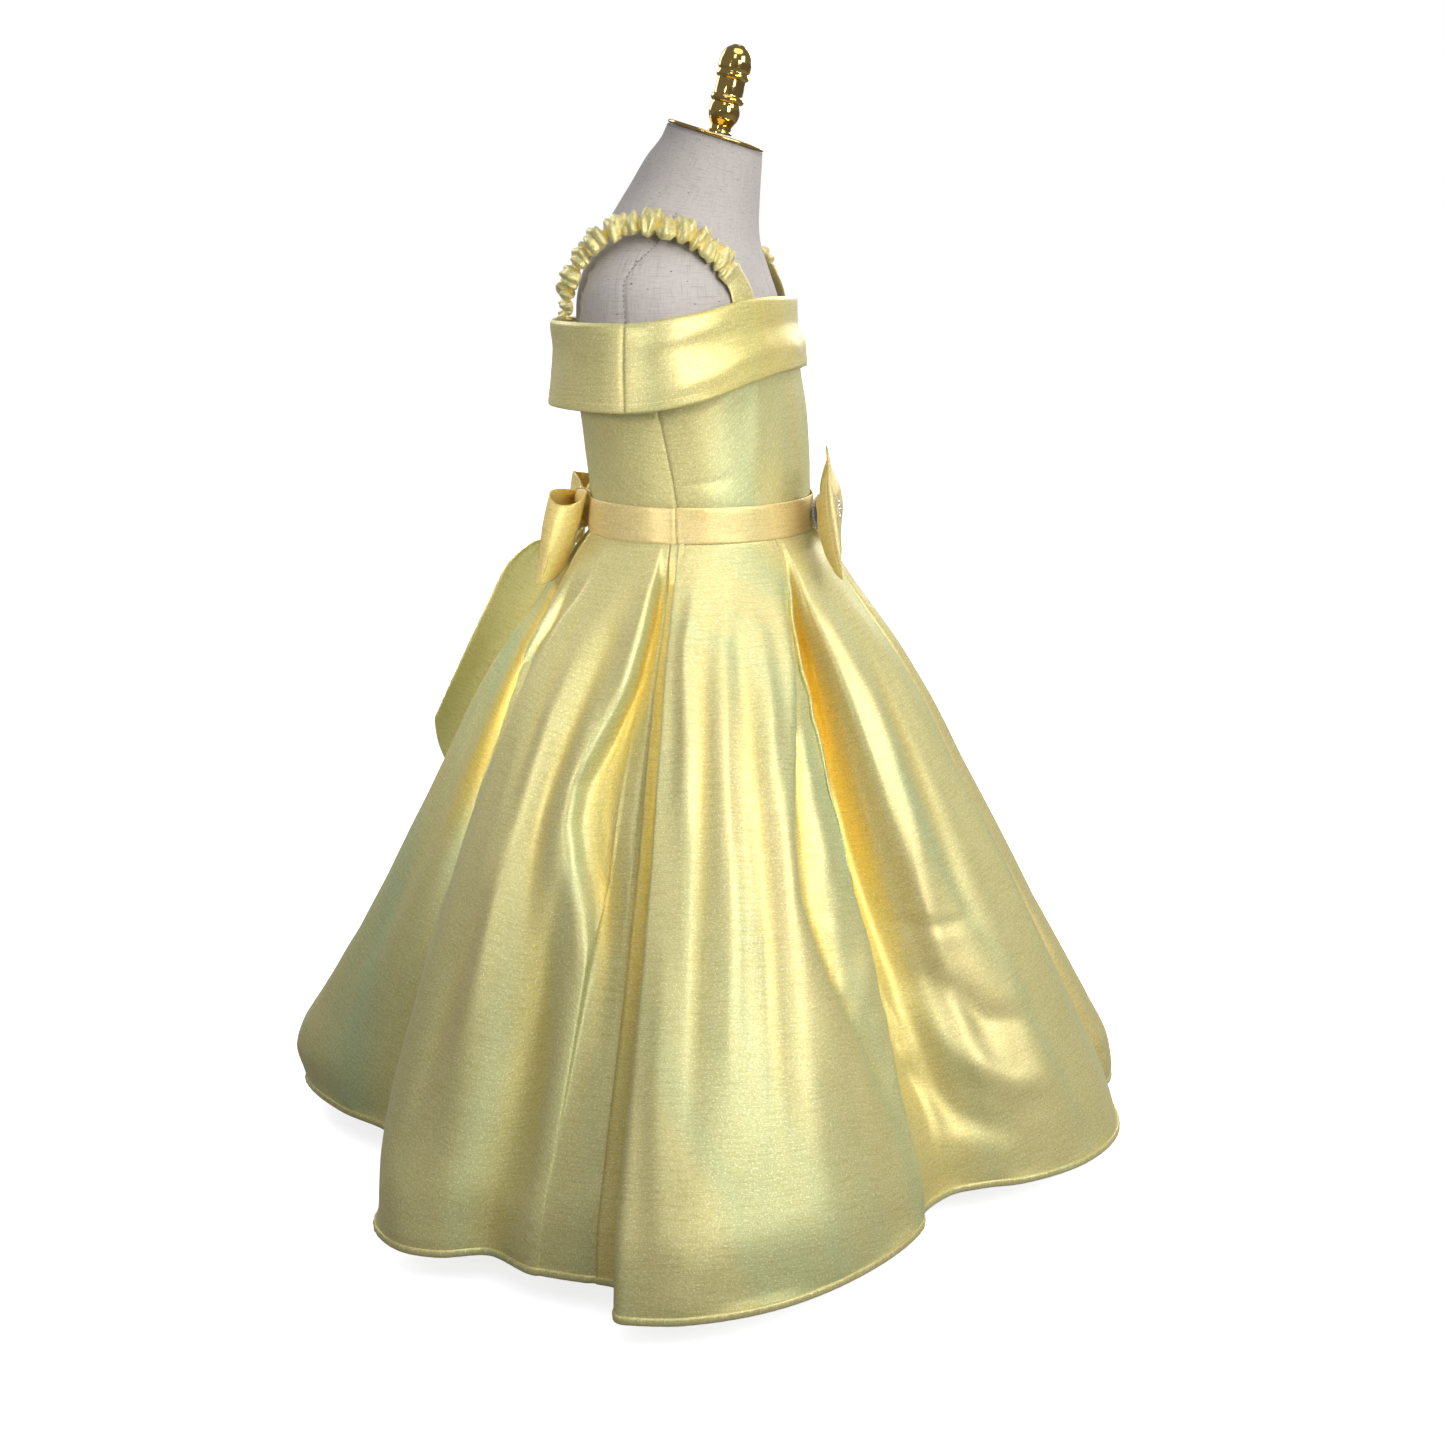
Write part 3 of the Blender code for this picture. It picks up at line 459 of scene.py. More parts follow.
# Curves through tables
def follow(table, x, column):
    """A column of a table read at x in its first column, by a curve through its rows."""
    body = np.array(table[1:], float)
    xs, ys = body[:, 0], body[:, column]
    x = np.clip(np.asarray(x, float), xs[0], xs[-1])
    slope = np.diff(ys) / np.diff(xs)
    m = np.zeros(len(xs))
    m[0], m[-1] = slope[0], slope[-1]
    a, b = slope[:-1], slope[1:]
    same = a * b > 0
    m[1:-1][same] = 2 * a[same] * b[same] / (a[same] + b[same])
    i = np.clip(np.searchsorted(xs, x, side="right") - 1, 0, len(xs) - 2)
    span = xs[i + 1] - xs[i]
    t = (x - xs[i]) / span
    return hermite(t, ys[i], m[i] * span, ys[i + 1], m[i + 1] * span)


def hermite(t, p0, m0, p1, m1):
    t2, t3 = t * t, t * t * t
    return (2 * t3 - 3 * t2 + 1) * p0 + (t3 - 2 * t2 + t) * m0 + (3 * t2 - 2 * t3) * p1 + (t3 - t2) * m1


def smooth(a, b, t):
    """0 below a, 1 above b and a soft step between."""
    t = np.clip((np.asarray(t, float) - a) / (b - a), 0, 1)
    return t * t * (3 - 2 * t)


def oval(psi, a, bf, bb, n=2.0):
    s, c = np.abs(np.sin(psi)), np.abs(np.cos(psi))
    b = np.where(np.cos(psi) >= 0, bf, bb)
    return ((s / a) ** n + (c / b) ** n) ** (-1 / n)


def around(psi, r, cy, z):
    """Points at an angle from the front toward the wearer's right, a radius and a height."""
    psi, r, cy, z = np.broadcast_arrays(psi, r, cy, z)
    return np.stack((-r * np.sin(psi), cy - r * np.cos(psi), z), axis=-1)


def section(table, z, psi):
    a, bf, bb, n = (follow(table, z, k) for k in (2, 3, 4, 5))
    return oval(psi, a, bf, bb, n), follow(table, z, 1)


def bump(x, centre, width):
    return np.exp(-(((np.asarray(x, float) - centre) / width) ** 2))


def grain(points, scale, seed):
    """Soft seeded noise, about -1 to 1, at each of the points."""
    flat = points.reshape(-1, 3) * scale
    shift = Vector((seed * 7.31, seed * 3.77, seed * 1.93))
    out = np.array([noise.noise(Vector(p) + shift) for p in flat])
    return out.reshape(points.shape[:-1])


def slopes(grid):
    """Outward unit normals of a grid whose rows go down and columns to the wearer's right."""
    down = np.gradient(grid, axis=0)
    side = np.gradient(grid, axis=1)
    n = np.cross(side, down)
    return n / np.maximum(np.linalg.norm(n, axis=-1, keepdims=True), 1e-12)


# Meshes
def new_mesh(name, points, faces):
    mesh = bpy.data.meshes.new(name)
    mesh.from_pydata([tuple(p) for p in points], [], faces)
    mesh.validate()
    mesh.polygons.foreach_set("use_smooth", [True] * len(mesh.polygons))
    mesh.update()
    o = bpy.data.objects.new(name, mesh)
    bpy.context.scene.collection.objects.link(o)
    return o


def grid_faces(rows_n, cols_n, closed=False):
    j, i = np.meshgrid(np.arange(rows_n - 1), np.arange(cols_n if closed else cols_n - 1), indexing="ij")
    k = (i + 1) % cols_n
    quads = np.stack((j * cols_n + i, j * cols_n + k, (j + 1) * cols_n + k, (j + 1) * cols_n + i), axis=-1)
    return quads.reshape(-1, 4)


def faces_of(quads):
    return [tuple(f) for f in quads.tolist()]


def two_skins(quads, size):
    """Faces of a skin, and of the skin behind it whose points come size later."""
    return faces_of(quads) + faces_of(quads[:, ::-1] + size)


def tube_faces(rings, sides):
    """Faces of a tube of rings that is closed at both ends."""
    ends = [tuple(range(sides))[::-1], tuple(range((rings - 1) * sides, rings * sides))]
    return faces_of(grid_faces(rings, sides, closed=True)) + ends


def circle(sides):
    """Angles of the corners of a ring."""
    return 2 * math.pi * np.arange(sides) / sides


def run_on(grid):
    """Carries each row of a grid straight on into its first and last columns."""
    grid[:, 0] = 2 * grid[:, 1] - grid[:, 2]
    grid[:, -1] = 2 * grid[:, -2] - grid[:, -3]
    return grid


def lengths(grid):
    """Two coordinates in metres on the cloth: along each row from its middle, and down."""
    across = np.linalg.norm(np.diff(grid, axis=1), axis=-1)
    u = np.concatenate((np.zeros((grid.shape[0], 1)), np.cumsum(across, axis=1)), axis=1)
    u -= u[:, grid.shape[1] // 2][:, None]
    down = np.linalg.norm(np.diff(grid, axis=0), axis=-1)
    v = np.concatenate((np.zeros((1, grid.shape[1])), np.cumsum(down, axis=0)), axis=0)
    return np.stack((u, -v), axis=-1)


def wall(name, padded, thick, gaps=(True, True), fold=None, seams=0.0):
    """A closed wall of cloth on a grid of its outer face.

    The grid has one column more on each side than the piece, which only gives the slope at
    the seams. fold is a 0 to 1 field of how deep in a fold each place lies, kept as an
    attribute from which the material paints fold shade. seams draws the edges in by that
    much, as stitching does.
    """
    n_all = slopes(padded)
    grid, n = padded[:, 1:-1].copy(), n_all[:, 1:-1]
    side = padded[:, 2:] - padded[:, :-2]
    side /= np.maximum(np.linalg.norm(side, axis=-1, keepdims=True), 1e-12)
    if gaps[0]:
        grid[:, 0] += side[:, 0] * GAP * 0.5
    if gaps[1]:
        grid[:, -1] -= side[:, -1] * GAP * 0.5
    if seams:
        flat = lengths(grid)[..., 0]
        reach = 0.0014
        pull = np.zeros_like(flat)
        if gaps[0]:
            pull += bump(flat - flat[:, :1], 0.0, reach)
        if gaps[1]:
            pull += bump(flat[:, -1:] - flat, 0.0, reach)
        grid = grid - n * (pull * seams)[..., None]
    uv = lengths(grid)
    m, k = grid.shape[:2]
    size = m * k
    points = np.concatenate((grid.reshape(-1, 3), (grid - n * thick).reshape(-1, 3)))
    faces = two_skins(grid_faces(m, k), size)
    rim = [(0, c) for c in range(k)] + [(r, k - 1) for r in range(1, m)]
    rim += [(m - 1, c) for c in range(k - 2, -1, -1)] + [(r, 0) for r in range(m - 2, 0, -1)]
    ids = [r * k + c for r, c in rim]
    for a, b in zip(ids, ids[1:] + ids[:1]):
        faces.append((b, a, a + size, b + size))
    o = new_mesh(name, points, faces)
    flat = grid[..., :2] / np.maximum(np.linalg.norm(grid[..., :2], axis=-1, keepdims=True), 1e-9)
    # Which way each place slopes round the body, from which the material paints sheen
    turn = n[..., 1] * flat[..., 0] - n[..., 0] * flat[..., 1]
    mark(o, np.concatenate((uv.reshape(-1, 2), uv.reshape(-1, 2))), fold, turn)
    return o


def mark(o, uv, fold=None, turn=None):
    """Gives a mesh its cloth coordinates, and the fields that its material reads.

    fold is how deep in a fold a place lies, from which the material paints fold shade, and
    turn which way it slopes round the body, from which it paints part of the sheen.
    """
    mesh = o.data
    loops = np.zeros(len(mesh.loops), int)
    mesh.loops.foreach_get("vertex_index", loops)
    layer = mesh.uv_layers.new(name="cloth")
    layer.data.foreach_set("uv", uv[loops].astype(np.float32).ravel())
    for key, field in (("fold", fold), ("turn", turn)):
        attribute = mesh.attributes.new(key, "FLOAT", "POINT")
        values = np.zeros(len(mesh.vertices), np.float32)
        if field is not None:
            flat = np.asarray(field, np.float32).ravel()
            values[: len(flat)] = flat
            values[len(flat) : 2 * len(flat)] = flat[: max(0, len(values) - len(flat))]
        attribute.data.foreach_set("value", values)


def finish_piece(o, material, slot, *nodes):
    """Material, body and the nodes that this piece stands for. The slot argument is not used."""
    if not o.data.materials:
        o.data.materials.append(material)
    if nodes:
        o.name = o.data.name = nodes[0] + "_made"
        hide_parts(*nodes)
    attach(o, "root")
    return o


# Materials
def node(tree, kind, inputs=None, **settings):
    n = tree.nodes.new(kind)
    for key, value in settings.items():
        setattr(n, key, value)
    for key, value in (inputs or {}).items():
        if isinstance(value, bpy.types.NodeSocket):
            tree.links.new(value, n.inputs[key])
        else:
            n.inputs[key].default_value = value
    return n


def maths(tree, operation, a, b=0.0, clamp=False):
    return node(tree, "ShaderNodeMath", {0: a, 1: b}, operation=operation, use_clamp=clamp).outputs[0]


def blend(tree, share, a, b, kind="MIX"):
    n = node(tree, "ShaderNodeMix", data_type="RGBA", blend_type=kind)
    for key, value in ((0, share), (6, a), (7, b)):
        if isinstance(value, bpy.types.NodeSocket):
            tree.links.new(value, n.inputs[key])
        elif key == 0:
            n.inputs[key].default_value = value
        else:
            n.inputs[key].default_value = (*value, 1)
    return n.outputs[2]


def ramp(tree, source, low, high):
    return node(tree, "ShaderNodeMapRange", {0: source, 1: low, 2: high, 3: 0.0, 4: 1.0}).outputs[0]


def speckle(tree, place, scale, detail=2.0, rough=0.5):
    """Noise whose grains have the given counts per metre along and down the cloth."""
    stretch = (*scale, 1) if len(scale) == 2 else scale
    at = node(tree, "ShaderNodeMapping", {"Vector": place, "Scale": stretch}).outputs[0]
    settings = {"Vector": at, "Scale": 1.0, "Detail": detail, "Roughness": rough}
    return node(tree, "ShaderNodeTexNoise", settings).outputs[0]


def raised(tree, height, strength, distance, under=None):
    """Slopes of a relief whose height runs from 0 to distance, on top of those under it."""
    inputs = {"Strength": strength, "Distance": distance, "Height": height}
    if under:
        inputs["Normal"] = under
    return node(tree, "ShaderNodeBump", inputs).outputs[0]


def fresh(name):
    m = bpy.data.materials.new(name)
    m.use_nodes = True
    tree = m.node_tree
    return m, tree, tree.nodes["Principled BSDF"]


def shimmer(name, colours, rough=0.46, sparkle=0.6):
    """Organza over satin: cross weave with slubs, fine flecks, and shot colours.

    The shot colours are partly random long bands in the cloth and partly painted sheen: the
    cloth turns cooler on slopes to one side and warmer to the other. The gold in folds is
    painted shade and bounced light, and the fine flecks are lightened as a painted glint
    besides their lower roughness.
    """
    open_colour, cool_colour, warm_colour, fold_shade_colour = colours
    m, t, p = fresh(name)
    uv = node(t, "ShaderNodeUVMap", uv_map="cloth").outputs[0]
    weft = speckle(t, uv, (300, 1500), 2.0)
    warp = speckle(t, uv, (1500, 300), 2.0)
    slub = speckle(t, uv, (45, 620), 1.0)
    bands = speckle(t, uv, (17, 1.6), 2.0)
    fleck = speckle(t, uv, (900, 900), 0.0)
    fold = node(t, "ShaderNodeAttribute", attribute_name="fold").outputs["Fac"]
    turn = node(t, "ShaderNodeAttribute", attribute_name="turn").outputs["Fac"]
    # Painted sheen: turn tints slopes facing one way cooler and the other warmer; bands are random tone in
    # the cloth
    shot = maths(t, "ADD", maths(t, "MULTIPLY", turn, 0.22), maths(t, "MULTIPLY", bands, 1.1))
    c = blend(t, ramp(t, shot, 0.50, 0.20), open_colour, warm_colour)
    c = blend(t, ramp(t, shot, 0.56, 0.86), c, cool_colour)
    # Painted shade: the fold field turns the cloth gold where shade and bounced light fall in folds
    c = blend(t, fold, c, fold_shade_colour)
    dark = blend(t, ramp(t, slub, 0.45, 0.72), (1, 1, 1), (0.90, 0.89, 0.82))
    c = blend(t, 1.0, c, dark, "MULTIPLY")
    fine_weave = maths(t, "MULTIPLY", weft, warp)
    fine = blend(t, ramp(t, fine_weave, 0.15, 0.35), (0.84, 0.835, 0.78), (1.05, 1.05, 1.05))
    c = blend(t, 1.0, c, fine, "MULTIPLY")
    # Painted glint: the flecks are lightened toward pale gold, besides their lower roughness
    glint = ramp(t, fleck, 0.66, 0.75)
    c = blend(t, maths(t, "MULTIPLY", glint, sparkle), c, (1.0, 0.97, 0.72))
    t.links.new(c, p.inputs["Base Color"])
    r = maths(t, "MULTIPLY_ADD", weft, 0.14)
    r.node.inputs[2].default_value = rough - 0.07
    r = maths(t, "SUBTRACT", r, maths(t, "MULTIPLY", glint, 0.12), clamp=True)
    t.links.new(r, p.inputs["Roughness"])
    p.inputs["Metallic"].default_value = 0.38
    p.inputs["Specular IOR Level"].default_value = 0.55
    p.inputs["Sheen Weight"].default_value = 0.20
    p.inputs["Sheen Roughness"].default_value = 0.35
    p.inputs["Sheen Tint"].default_value = (0.95, 0.98, 0.70, 1)
    height = maths(t, "ADD", maths(t, "MULTIPLY", weft, 0.6), maths(t, "MULTIPLY", warp, 0.4))
    weave = raised(t, height, 0.30, 0.0003)
    wide = speckle(t, uv, (16, 40), 3.0)
    t.links.new(raised(t, wide, 0.22, 0.0012, weave), p.inputs["Normal"])
    return m


def linen(name, light, dark):
    """Slub linen drawn over the form: warp and weft with thick dark threads here and there."""
    m, t, p = fresh(name)
    uv = node(t, "ShaderNodeUVMap", uv_map="cloth").outputs[0]
    weft = speckle(t, uv, (130, 1500), 2.0)
    warp = speckle(t, uv, (1500, 130), 2.0)
    thread_a = speckle(t, uv, (50, 1050), 1.0)
    thread_b = speckle(t, uv, (1000, 45), 1.0)
    fleck = speckle(t, uv, (330, 620), 0.0)
    cloud = speckle(t, uv, (11, 13), 3.0)
    c = blend(t, ramp(t, cloud, 0.35, 0.7), light, dark)
    c = blend(t, maths(t, "MULTIPLY", ramp(t, weft, 0.42, 0.66), 0.42), c, (0.36, 0.335, 0.32))
    c = blend(t, maths(t, "MULTIPLY", ramp(t, warp, 0.42, 0.66), 0.36), c, (0.38, 0.35, 0.33))
    c = blend(t, maths(t, "MULTIPLY", ramp(t, thread_a, 0.60, 0.72), 0.40), c, (0.22, 0.20, 0.20))
    c = blend(t, maths(t, "MULTIPLY", ramp(t, thread_b, 0.60, 0.72), 0.40), c, (0.23, 0.21, 0.21))
    c = blend(t, maths(t, "MULTIPLY", ramp(t, fleck, 0.80, 0.84), 0.8), c, (0.07, 0.06, 0.07))
    t.links.new(c, p.inputs["Base Color"])
    p.inputs["Roughness"].default_value = 0.86
    p.inputs["Specular IOR Level"].default_value = 0.3
    p.inputs["Sheen Weight"].default_value = 0.12
    t.links.new(raised(t, maths(t, "ADD", weft, warp), 0.5, 0.0004), p.inputs["Normal"])
    return m


def polished(name, colour, rough, scuff=0.02):
    """Plated metal with faint wiping marks."""
    m, t, p = fresh(name)
    at = node(t, "ShaderNodeTexCoord").outputs["Object"]
    wipe = speckle(t, at, (90, 90, 900), 3.0)
    p.inputs["Base Color"].default_value = (*colour, 1)
    p.inputs["Metallic"].default_value = 1.0
    r = maths(t, "MULTIPLY_ADD", wipe, scuff)
    r.node.inputs[2].default_value = rough
    t.links.new(r, p.inputs["Roughness"])
    return m


def coated(name, colour, rough, grains=600):
    """Painted or cast surface with an even fine grain."""
    m, t, p = fresh(name)
    at = node(t, "ShaderNodeTexCoord").outputs["Object"]
    g = speckle(t, at, (grains, grains, grains), 2.0)
    c = blend(t, ramp(t, g, 0.3, 0.7), colour, tuple(v * 0.9 for v in colour))
    t.links.new(c, p.inputs["Base Color"])
    p.inputs["Roughness"].default_value = rough
    t.links.new(raised(t, g, 0.15, 0.0003), p.inputs["Normal"])
    return m


def stone_material(name):
    m, t, p = fresh(name)
    p.inputs["Base Color"].default_value = (0.94, 0.95, 0.98, 1)
    p.inputs["Metallic"].default_value = 0.75
    at = node(t, "ShaderNodeTexCoord").outputs["Object"]
    g = speckle(t, at, (700, 700, 700), 1.0)
    t.links.new(ramp(t, g, 0.2, 3.0), p.inputs["Roughness"])
    return m


def floor_material(name, colour):
    """Pale floor that reads as white paper but throws little light up under the skirt."""
    m, t, p = fresh(name)
    p.inputs["Base Color"].default_value = (*colour, 1)
    p.inputs["Roughness"].default_value = 0.9
    p.inputs["Emission Color"].default_value = (1, 1, 1, 1)
    p.inputs["Emission Strength"].default_value = 0.80
    dim = node(t, "ShaderNodeBsdfDiffuse", {"Color": (0.28, 0.28, 0.27, 1)})
    seen = node(t, "ShaderNodeLightPath").outputs["Is Camera Ray"]
    both = node(t, "ShaderNodeMixShader", {0: seen, 1: dim.outputs[0], 2: p.outputs[0]})
    t.links.new(both.outputs[0], t.nodes["Material Output"].inputs[0])
    return m


_made = {}


def material(key):
    """The scene's materials, each made once from the panel's colours."""
    if key in _made:
        return _made[key]
    c = bpy.context.scene.gown_colours
    satin, cool, warm, fold = tuple(c.satin), tuple(c.cool), tuple(c.warm), tuple(c.fold)
    ribbon, sash = tuple(c.ribbon), tuple(c.sash)
    if key == "satin":
        m = shimmer("satin_organza", (satin, cool, warm, fold))
    elif key == "ribbon":
        m = shimmer("satin_ribbon", (ribbon, satin, warm, fold), 0.50, 0.4)
    elif key == "sash":
        # Painted light: the sash ends' pale colour stands in for light coming through the sheer cloth
        m = shimmer("sash_end_organza", (sash, sash, sash, fold), 0.50)
    elif key == "band":
        m = shimmer("satin_band", (ribbon, satin, warm, fold), 0.50, 0.5)
    elif key == "thread":
        m = coated("sewing_thread", tuple(c.thread), 0.6, 2500)
    elif key == "linen":
        m = linen("slub_linen", tuple(c.linen), tuple(v * 0.93 for v in c.linen))
    elif key == "linen_thread":
        m = coated("linen_thread", tuple(v * 0.55 for v in c.linen), 0.9, 2500)
    elif key == "gold":
        m = polished("polished_gold", tuple(c.gold), 0.08)
    elif key == "silver":
        m = polished("bright_silver", (0.46, 0.43, 0.39), 0.18)
    elif key == "stone":
        m = stone_material("cut_stone")
    elif key == "stand":
        m = coated("stand_enamel", tuple(c.stand), 0.45)
    elif key == "floor":
        m = floor_material("studio_floor", tuple(c.floor))
    _made[key] = m
    return m


# Geometry Nodes trees
def new_tree(name, sockets):
    tree = bpy.data.node_groups.new(name, "GeometryNodeTree")
    tree.interface.new_socket("Geometry", in_out="INPUT", socket_type="NodeSocketGeometry")
    for label, kind in sockets:
        tree.interface.new_socket(label, in_out="INPUT", socket_type=kind)
    tree.interface.new_socket("Geometry", in_out="OUTPUT", socket_type="NodeSocketGeometry")
    return tree, node(tree, "NodeGroupInput"), node(tree, "NodeGroupOutput")


def stitch_tree():
    """Rounded stitches laid end to end along lines of edges."""
    name = "running_stitches"
    if name in bpy.data.node_groups:
        return bpy.data.node_groups[name]
    kinds = (
        ("Pitch", "NodeSocketFloat"),
        ("Length", "NodeSocketFloat"),
        ("Thickness", "NodeSocketFloat"),
        ("Thread", "NodeSocketMaterial"),
    )
    t, start, end = new_tree(name, kinds)
    given = start.outputs
    line = node(t, "GeometryNodeMeshToCurve", {"Mesh": given["Geometry"]}).outputs[0]
    inputs = {"Curve": line, "Length": given["Pitch"]}
    points = node(t, "GeometryNodeCurveToPoints", inputs, mode="LENGTH").outputs
    inputs = {"Vector": points["Tangent"]}
    turn = node(t, "FunctionNodeAlignRotationToVector", inputs, axis="Z").outputs[0]
    inputs = {0: given["Thickness"], 1: given["Thickness"], 2: given["Length"]}
    size = node(t, "ShaderNodeCombineXYZ", inputs).outputs[0]
    inputs = {"Segments": 6, "Rings": 4, "Radius": 0.5}
    ball = node(t, "GeometryNodeMeshUVSphere", inputs).outputs[0]
    inputs = {"Points": points[0], "Instance": ball, "Rotation": turn, "Scale": size}
    put = node(t, "GeometryNodeInstanceOnPoints", inputs).outputs[0]
    real = node(t, "GeometryNodeRealizeInstances", {"Geometry": put}).outputs[0]
    inputs = {"Geometry": real, "Material": given["Thread"]}
    paint = node(t, "GeometryNodeSetMaterial", inputs)
    t.links.new(paint.outputs[0], end.inputs[0])
    return t


def stone_tree():
    """Small cut stones on a surface's points, each standing on the surface's slope."""
    name = "set_stones"
    if name in bpy.data.node_groups:
        return bpy.data.node_groups[name]
    kinds = (("Size", "NodeSocketFloat"), ("Seed", "NodeSocketInt"), ("Stone", "NodeSocketMaterial"))
    t, start, end = new_tree(name, kinds)
    given = start.outputs
    points = node(t, "GeometryNodeMeshToPoints", {"Mesh": given["Geometry"]}, mode="FACES").outputs[0]
    inputs = {"Name": "way"}
    way = node(t, "GeometryNodeInputNamedAttribute", inputs, data_type="FLOAT_VECTOR").outputs[0]
    turn = node(t, "FunctionNodeAlignRotationToVector", {"Vector": way}, axis="Z").outputs[0]
    inputs = {2: 0.0, 3: 6.28, "Seed": given["Seed"]}
    spin = node(t, "FunctionNodeRandomValue", inputs, data_type="FLOAT").outputs[1]
    about = node(t, "ShaderNodeCombineXYZ", {2: spin}).outputs[0]
    inputs = {0: turn, 1: about}
    whole = node(t, "FunctionNodeRotateRotation", inputs, rotation_space="LOCAL").outputs[0]
    inputs = {"Vertices": 8, "Radius Top": 0.30, "Radius Bottom": 0.5, "Depth": 0.30}
    cone = node(t, "GeometryNodeMeshCone", inputs).outputs[0]
    inputs = {"Points": points, "Instance": cone, "Rotation": whole, "Scale": given["Size"]}
    put = node(t, "GeometryNodeInstanceOnPoints", inputs).outputs[0]
    real = node(t, "GeometryNodeRealizeInstances", {"Geometry": put}).outputs[0]
    inputs = {"Geometry": real, "Shade Smooth": False}
    flat = node(t, "GeometryNodeSetShadeSmooth", inputs).outputs[0]
    inputs = {"Geometry": flat, "Material": given["Stone"]}
    paint = node(t, "GeometryNodeSetMaterial", inputs)
    t.links.new(paint.outputs[0], end.inputs[0])
    return t


def through_tree(name, source, tree, values):
    """Runs a source mesh through a tree and keeps the result as a plain mesh object."""
    modifier = source.modifiers.new("tree", "NODES")
    modifier.node_group = tree
    for item in tree.interface.items_tree:
        if item.item_type == "SOCKET" and item.in_out == "INPUT" and item.name in values:
            modifier[item.identifier] = values[item.name]
    bpy.context.view_layer.update()
    graph = bpy.context.evaluated_depsgraph_get()
    mesh = bpy.data.meshes.new_from_object(source.evaluated_get(graph))
    source.modifiers.remove(modifier)
    old = source.data
    bpy.data.objects.remove(source)
    bpy.data.meshes.remove(old)
    if not mesh.vertices:
        raise RuntimeError(name + " came out empty")
    mesh.name = name
    o = bpy.data.objects.new(name, mesh)
    bpy.context.scene.collection.objects.link(o)
    return o


def stitches(name, lines, thread="thread", slot="satin", pitch=None, length=None, thick=None):
    """Stitches along lines of points that lie on the cloth, half sunk into it."""
    s = bpy.context.scene.gown_sizes
    points, edges = [], []
    for line in lines:
        base = len(points)
        points += [tuple(p) for p in line]
        edges += [(base + k, base + k + 1) for k in range(len(line) - 1)]
    mesh = bpy.data.meshes.new(name + "_line")
    mesh.from_pydata(points, edges, [])
    source = bpy.data.objects.new(name + "_line", mesh)
    bpy.context.scene.collection.objects.link(source)
    values = {
        "Pitch": pitch or s.stitch_pitch,
        "Length": length or s.stitch_length,
        "Thickness": thick or s.stitch_thick,
        "Thread": material(thread),
    }
    o = through_tree(name, source, stitch_tree(), values)
    return finish_piece(o, material(thread), slot)


def stretches(*spans):
    """Even places along spans that meet, each given as its start, its end and its count."""
    parts = [np.linspace(*span) for span in spans]
    return np.concatenate([part[:-1] for part in parts[:-1]] + parts[-1:])


def fine(a, b, count):
    """Places from a to b, with more of them just inside each seam, and one past each end."""
    us = list(np.linspace(a, b, count + 1))
    share = (b - a) * SEAM_SHARE
    steps = [share * (k / SEAM_STEPS) for k in range(1, SEAM_STEPS)]
    us = sorted(set(us + [a + q for q in steps] + [b - q for q in steps]))
    past = (b - a) * 0.002
    return np.array([a - past] + us + [b + past])


# The skirt
def pleat_columns(s):
    """The pleat table's columns at places s round it, by curves through its rows."""
    body = np.array(PLEATS[1:], float)
    n = len(body)
    i = np.floor(s).astype(int)
    f = s - i
    out = []
    for column in range(6):

        def at(k):
            v = body[k % n, column]
            return v + 360.0 * (k // n) if column < 2 else v

        p0, p1, p2, p3 = at(i - 1), at(i), at(i + 1), at(i + 2)
        m1, m2 = (p2 - p0) / 2, (p3 - p1) / 2
        if column in (2, 3):
            m1 = np.where((p1 - p0) * (p2 - p1) <= 0, 0.0, m1)
            m2 = np.where((p2 - p1) * (p3 - p2) <= 0, 0.0, m2)
        limit = 3 * np.abs(p2 - p1)
        m1, m2 = np.clip(m1, -limit, limit), np.clip(m2, -limit, limit)
        out.append(hermite(f, p1, m1, p2, m2))
    return out


def row_at(waist_deg):
    return next(k for k, r in enumerate(PLEATS[1:]) if r[0] == waist_deg)


def skirt_base(s, t):
    """The skirt's outer face as the solids have it, on a grid of s round it and t down it."""
    waist, hem, radius, fold, full, bell = (c[None, :] for c in pleat_columns(np.asarray(s, float)))
    t = np.asarray(t, float)[:, None]
    wa, ha = np.radians(waist), np.radians(hem)
    rw = oval(wa, WAIST_HALF_X, WAIST_HALF_Y, WAIST_HALF_Y)
    share = follow(FLARE, t, 1)
    ang = wa + (ha - wa) * share
    step = np.clip(t / full, 0, 1)
    deep = step * step * (3 - 2 * step) * (1 - smooth(0.45, 0.95, t))
    low = np.clip((t - 0.45) / 0.44, 0, 1) ** 2 * (1 - smooth(0.92, 1.0, t))
    r = rw + (radius / 1000 - rw) * share - fold / 1000 * deep + bell / 1000 * low
    z = WAIST_Z + (HEM_Z - WAIST_Z) * t
    inner, _ = section(FORM, np.maximum(z, FORM[1][0]), ang)
    r = np.where((z > HIP[0]) & (z < HIP[1]), np.maximum(r, inner + SKIRT_OFF_FORM), r)
    return around(ang, r, 0.0, z), ang


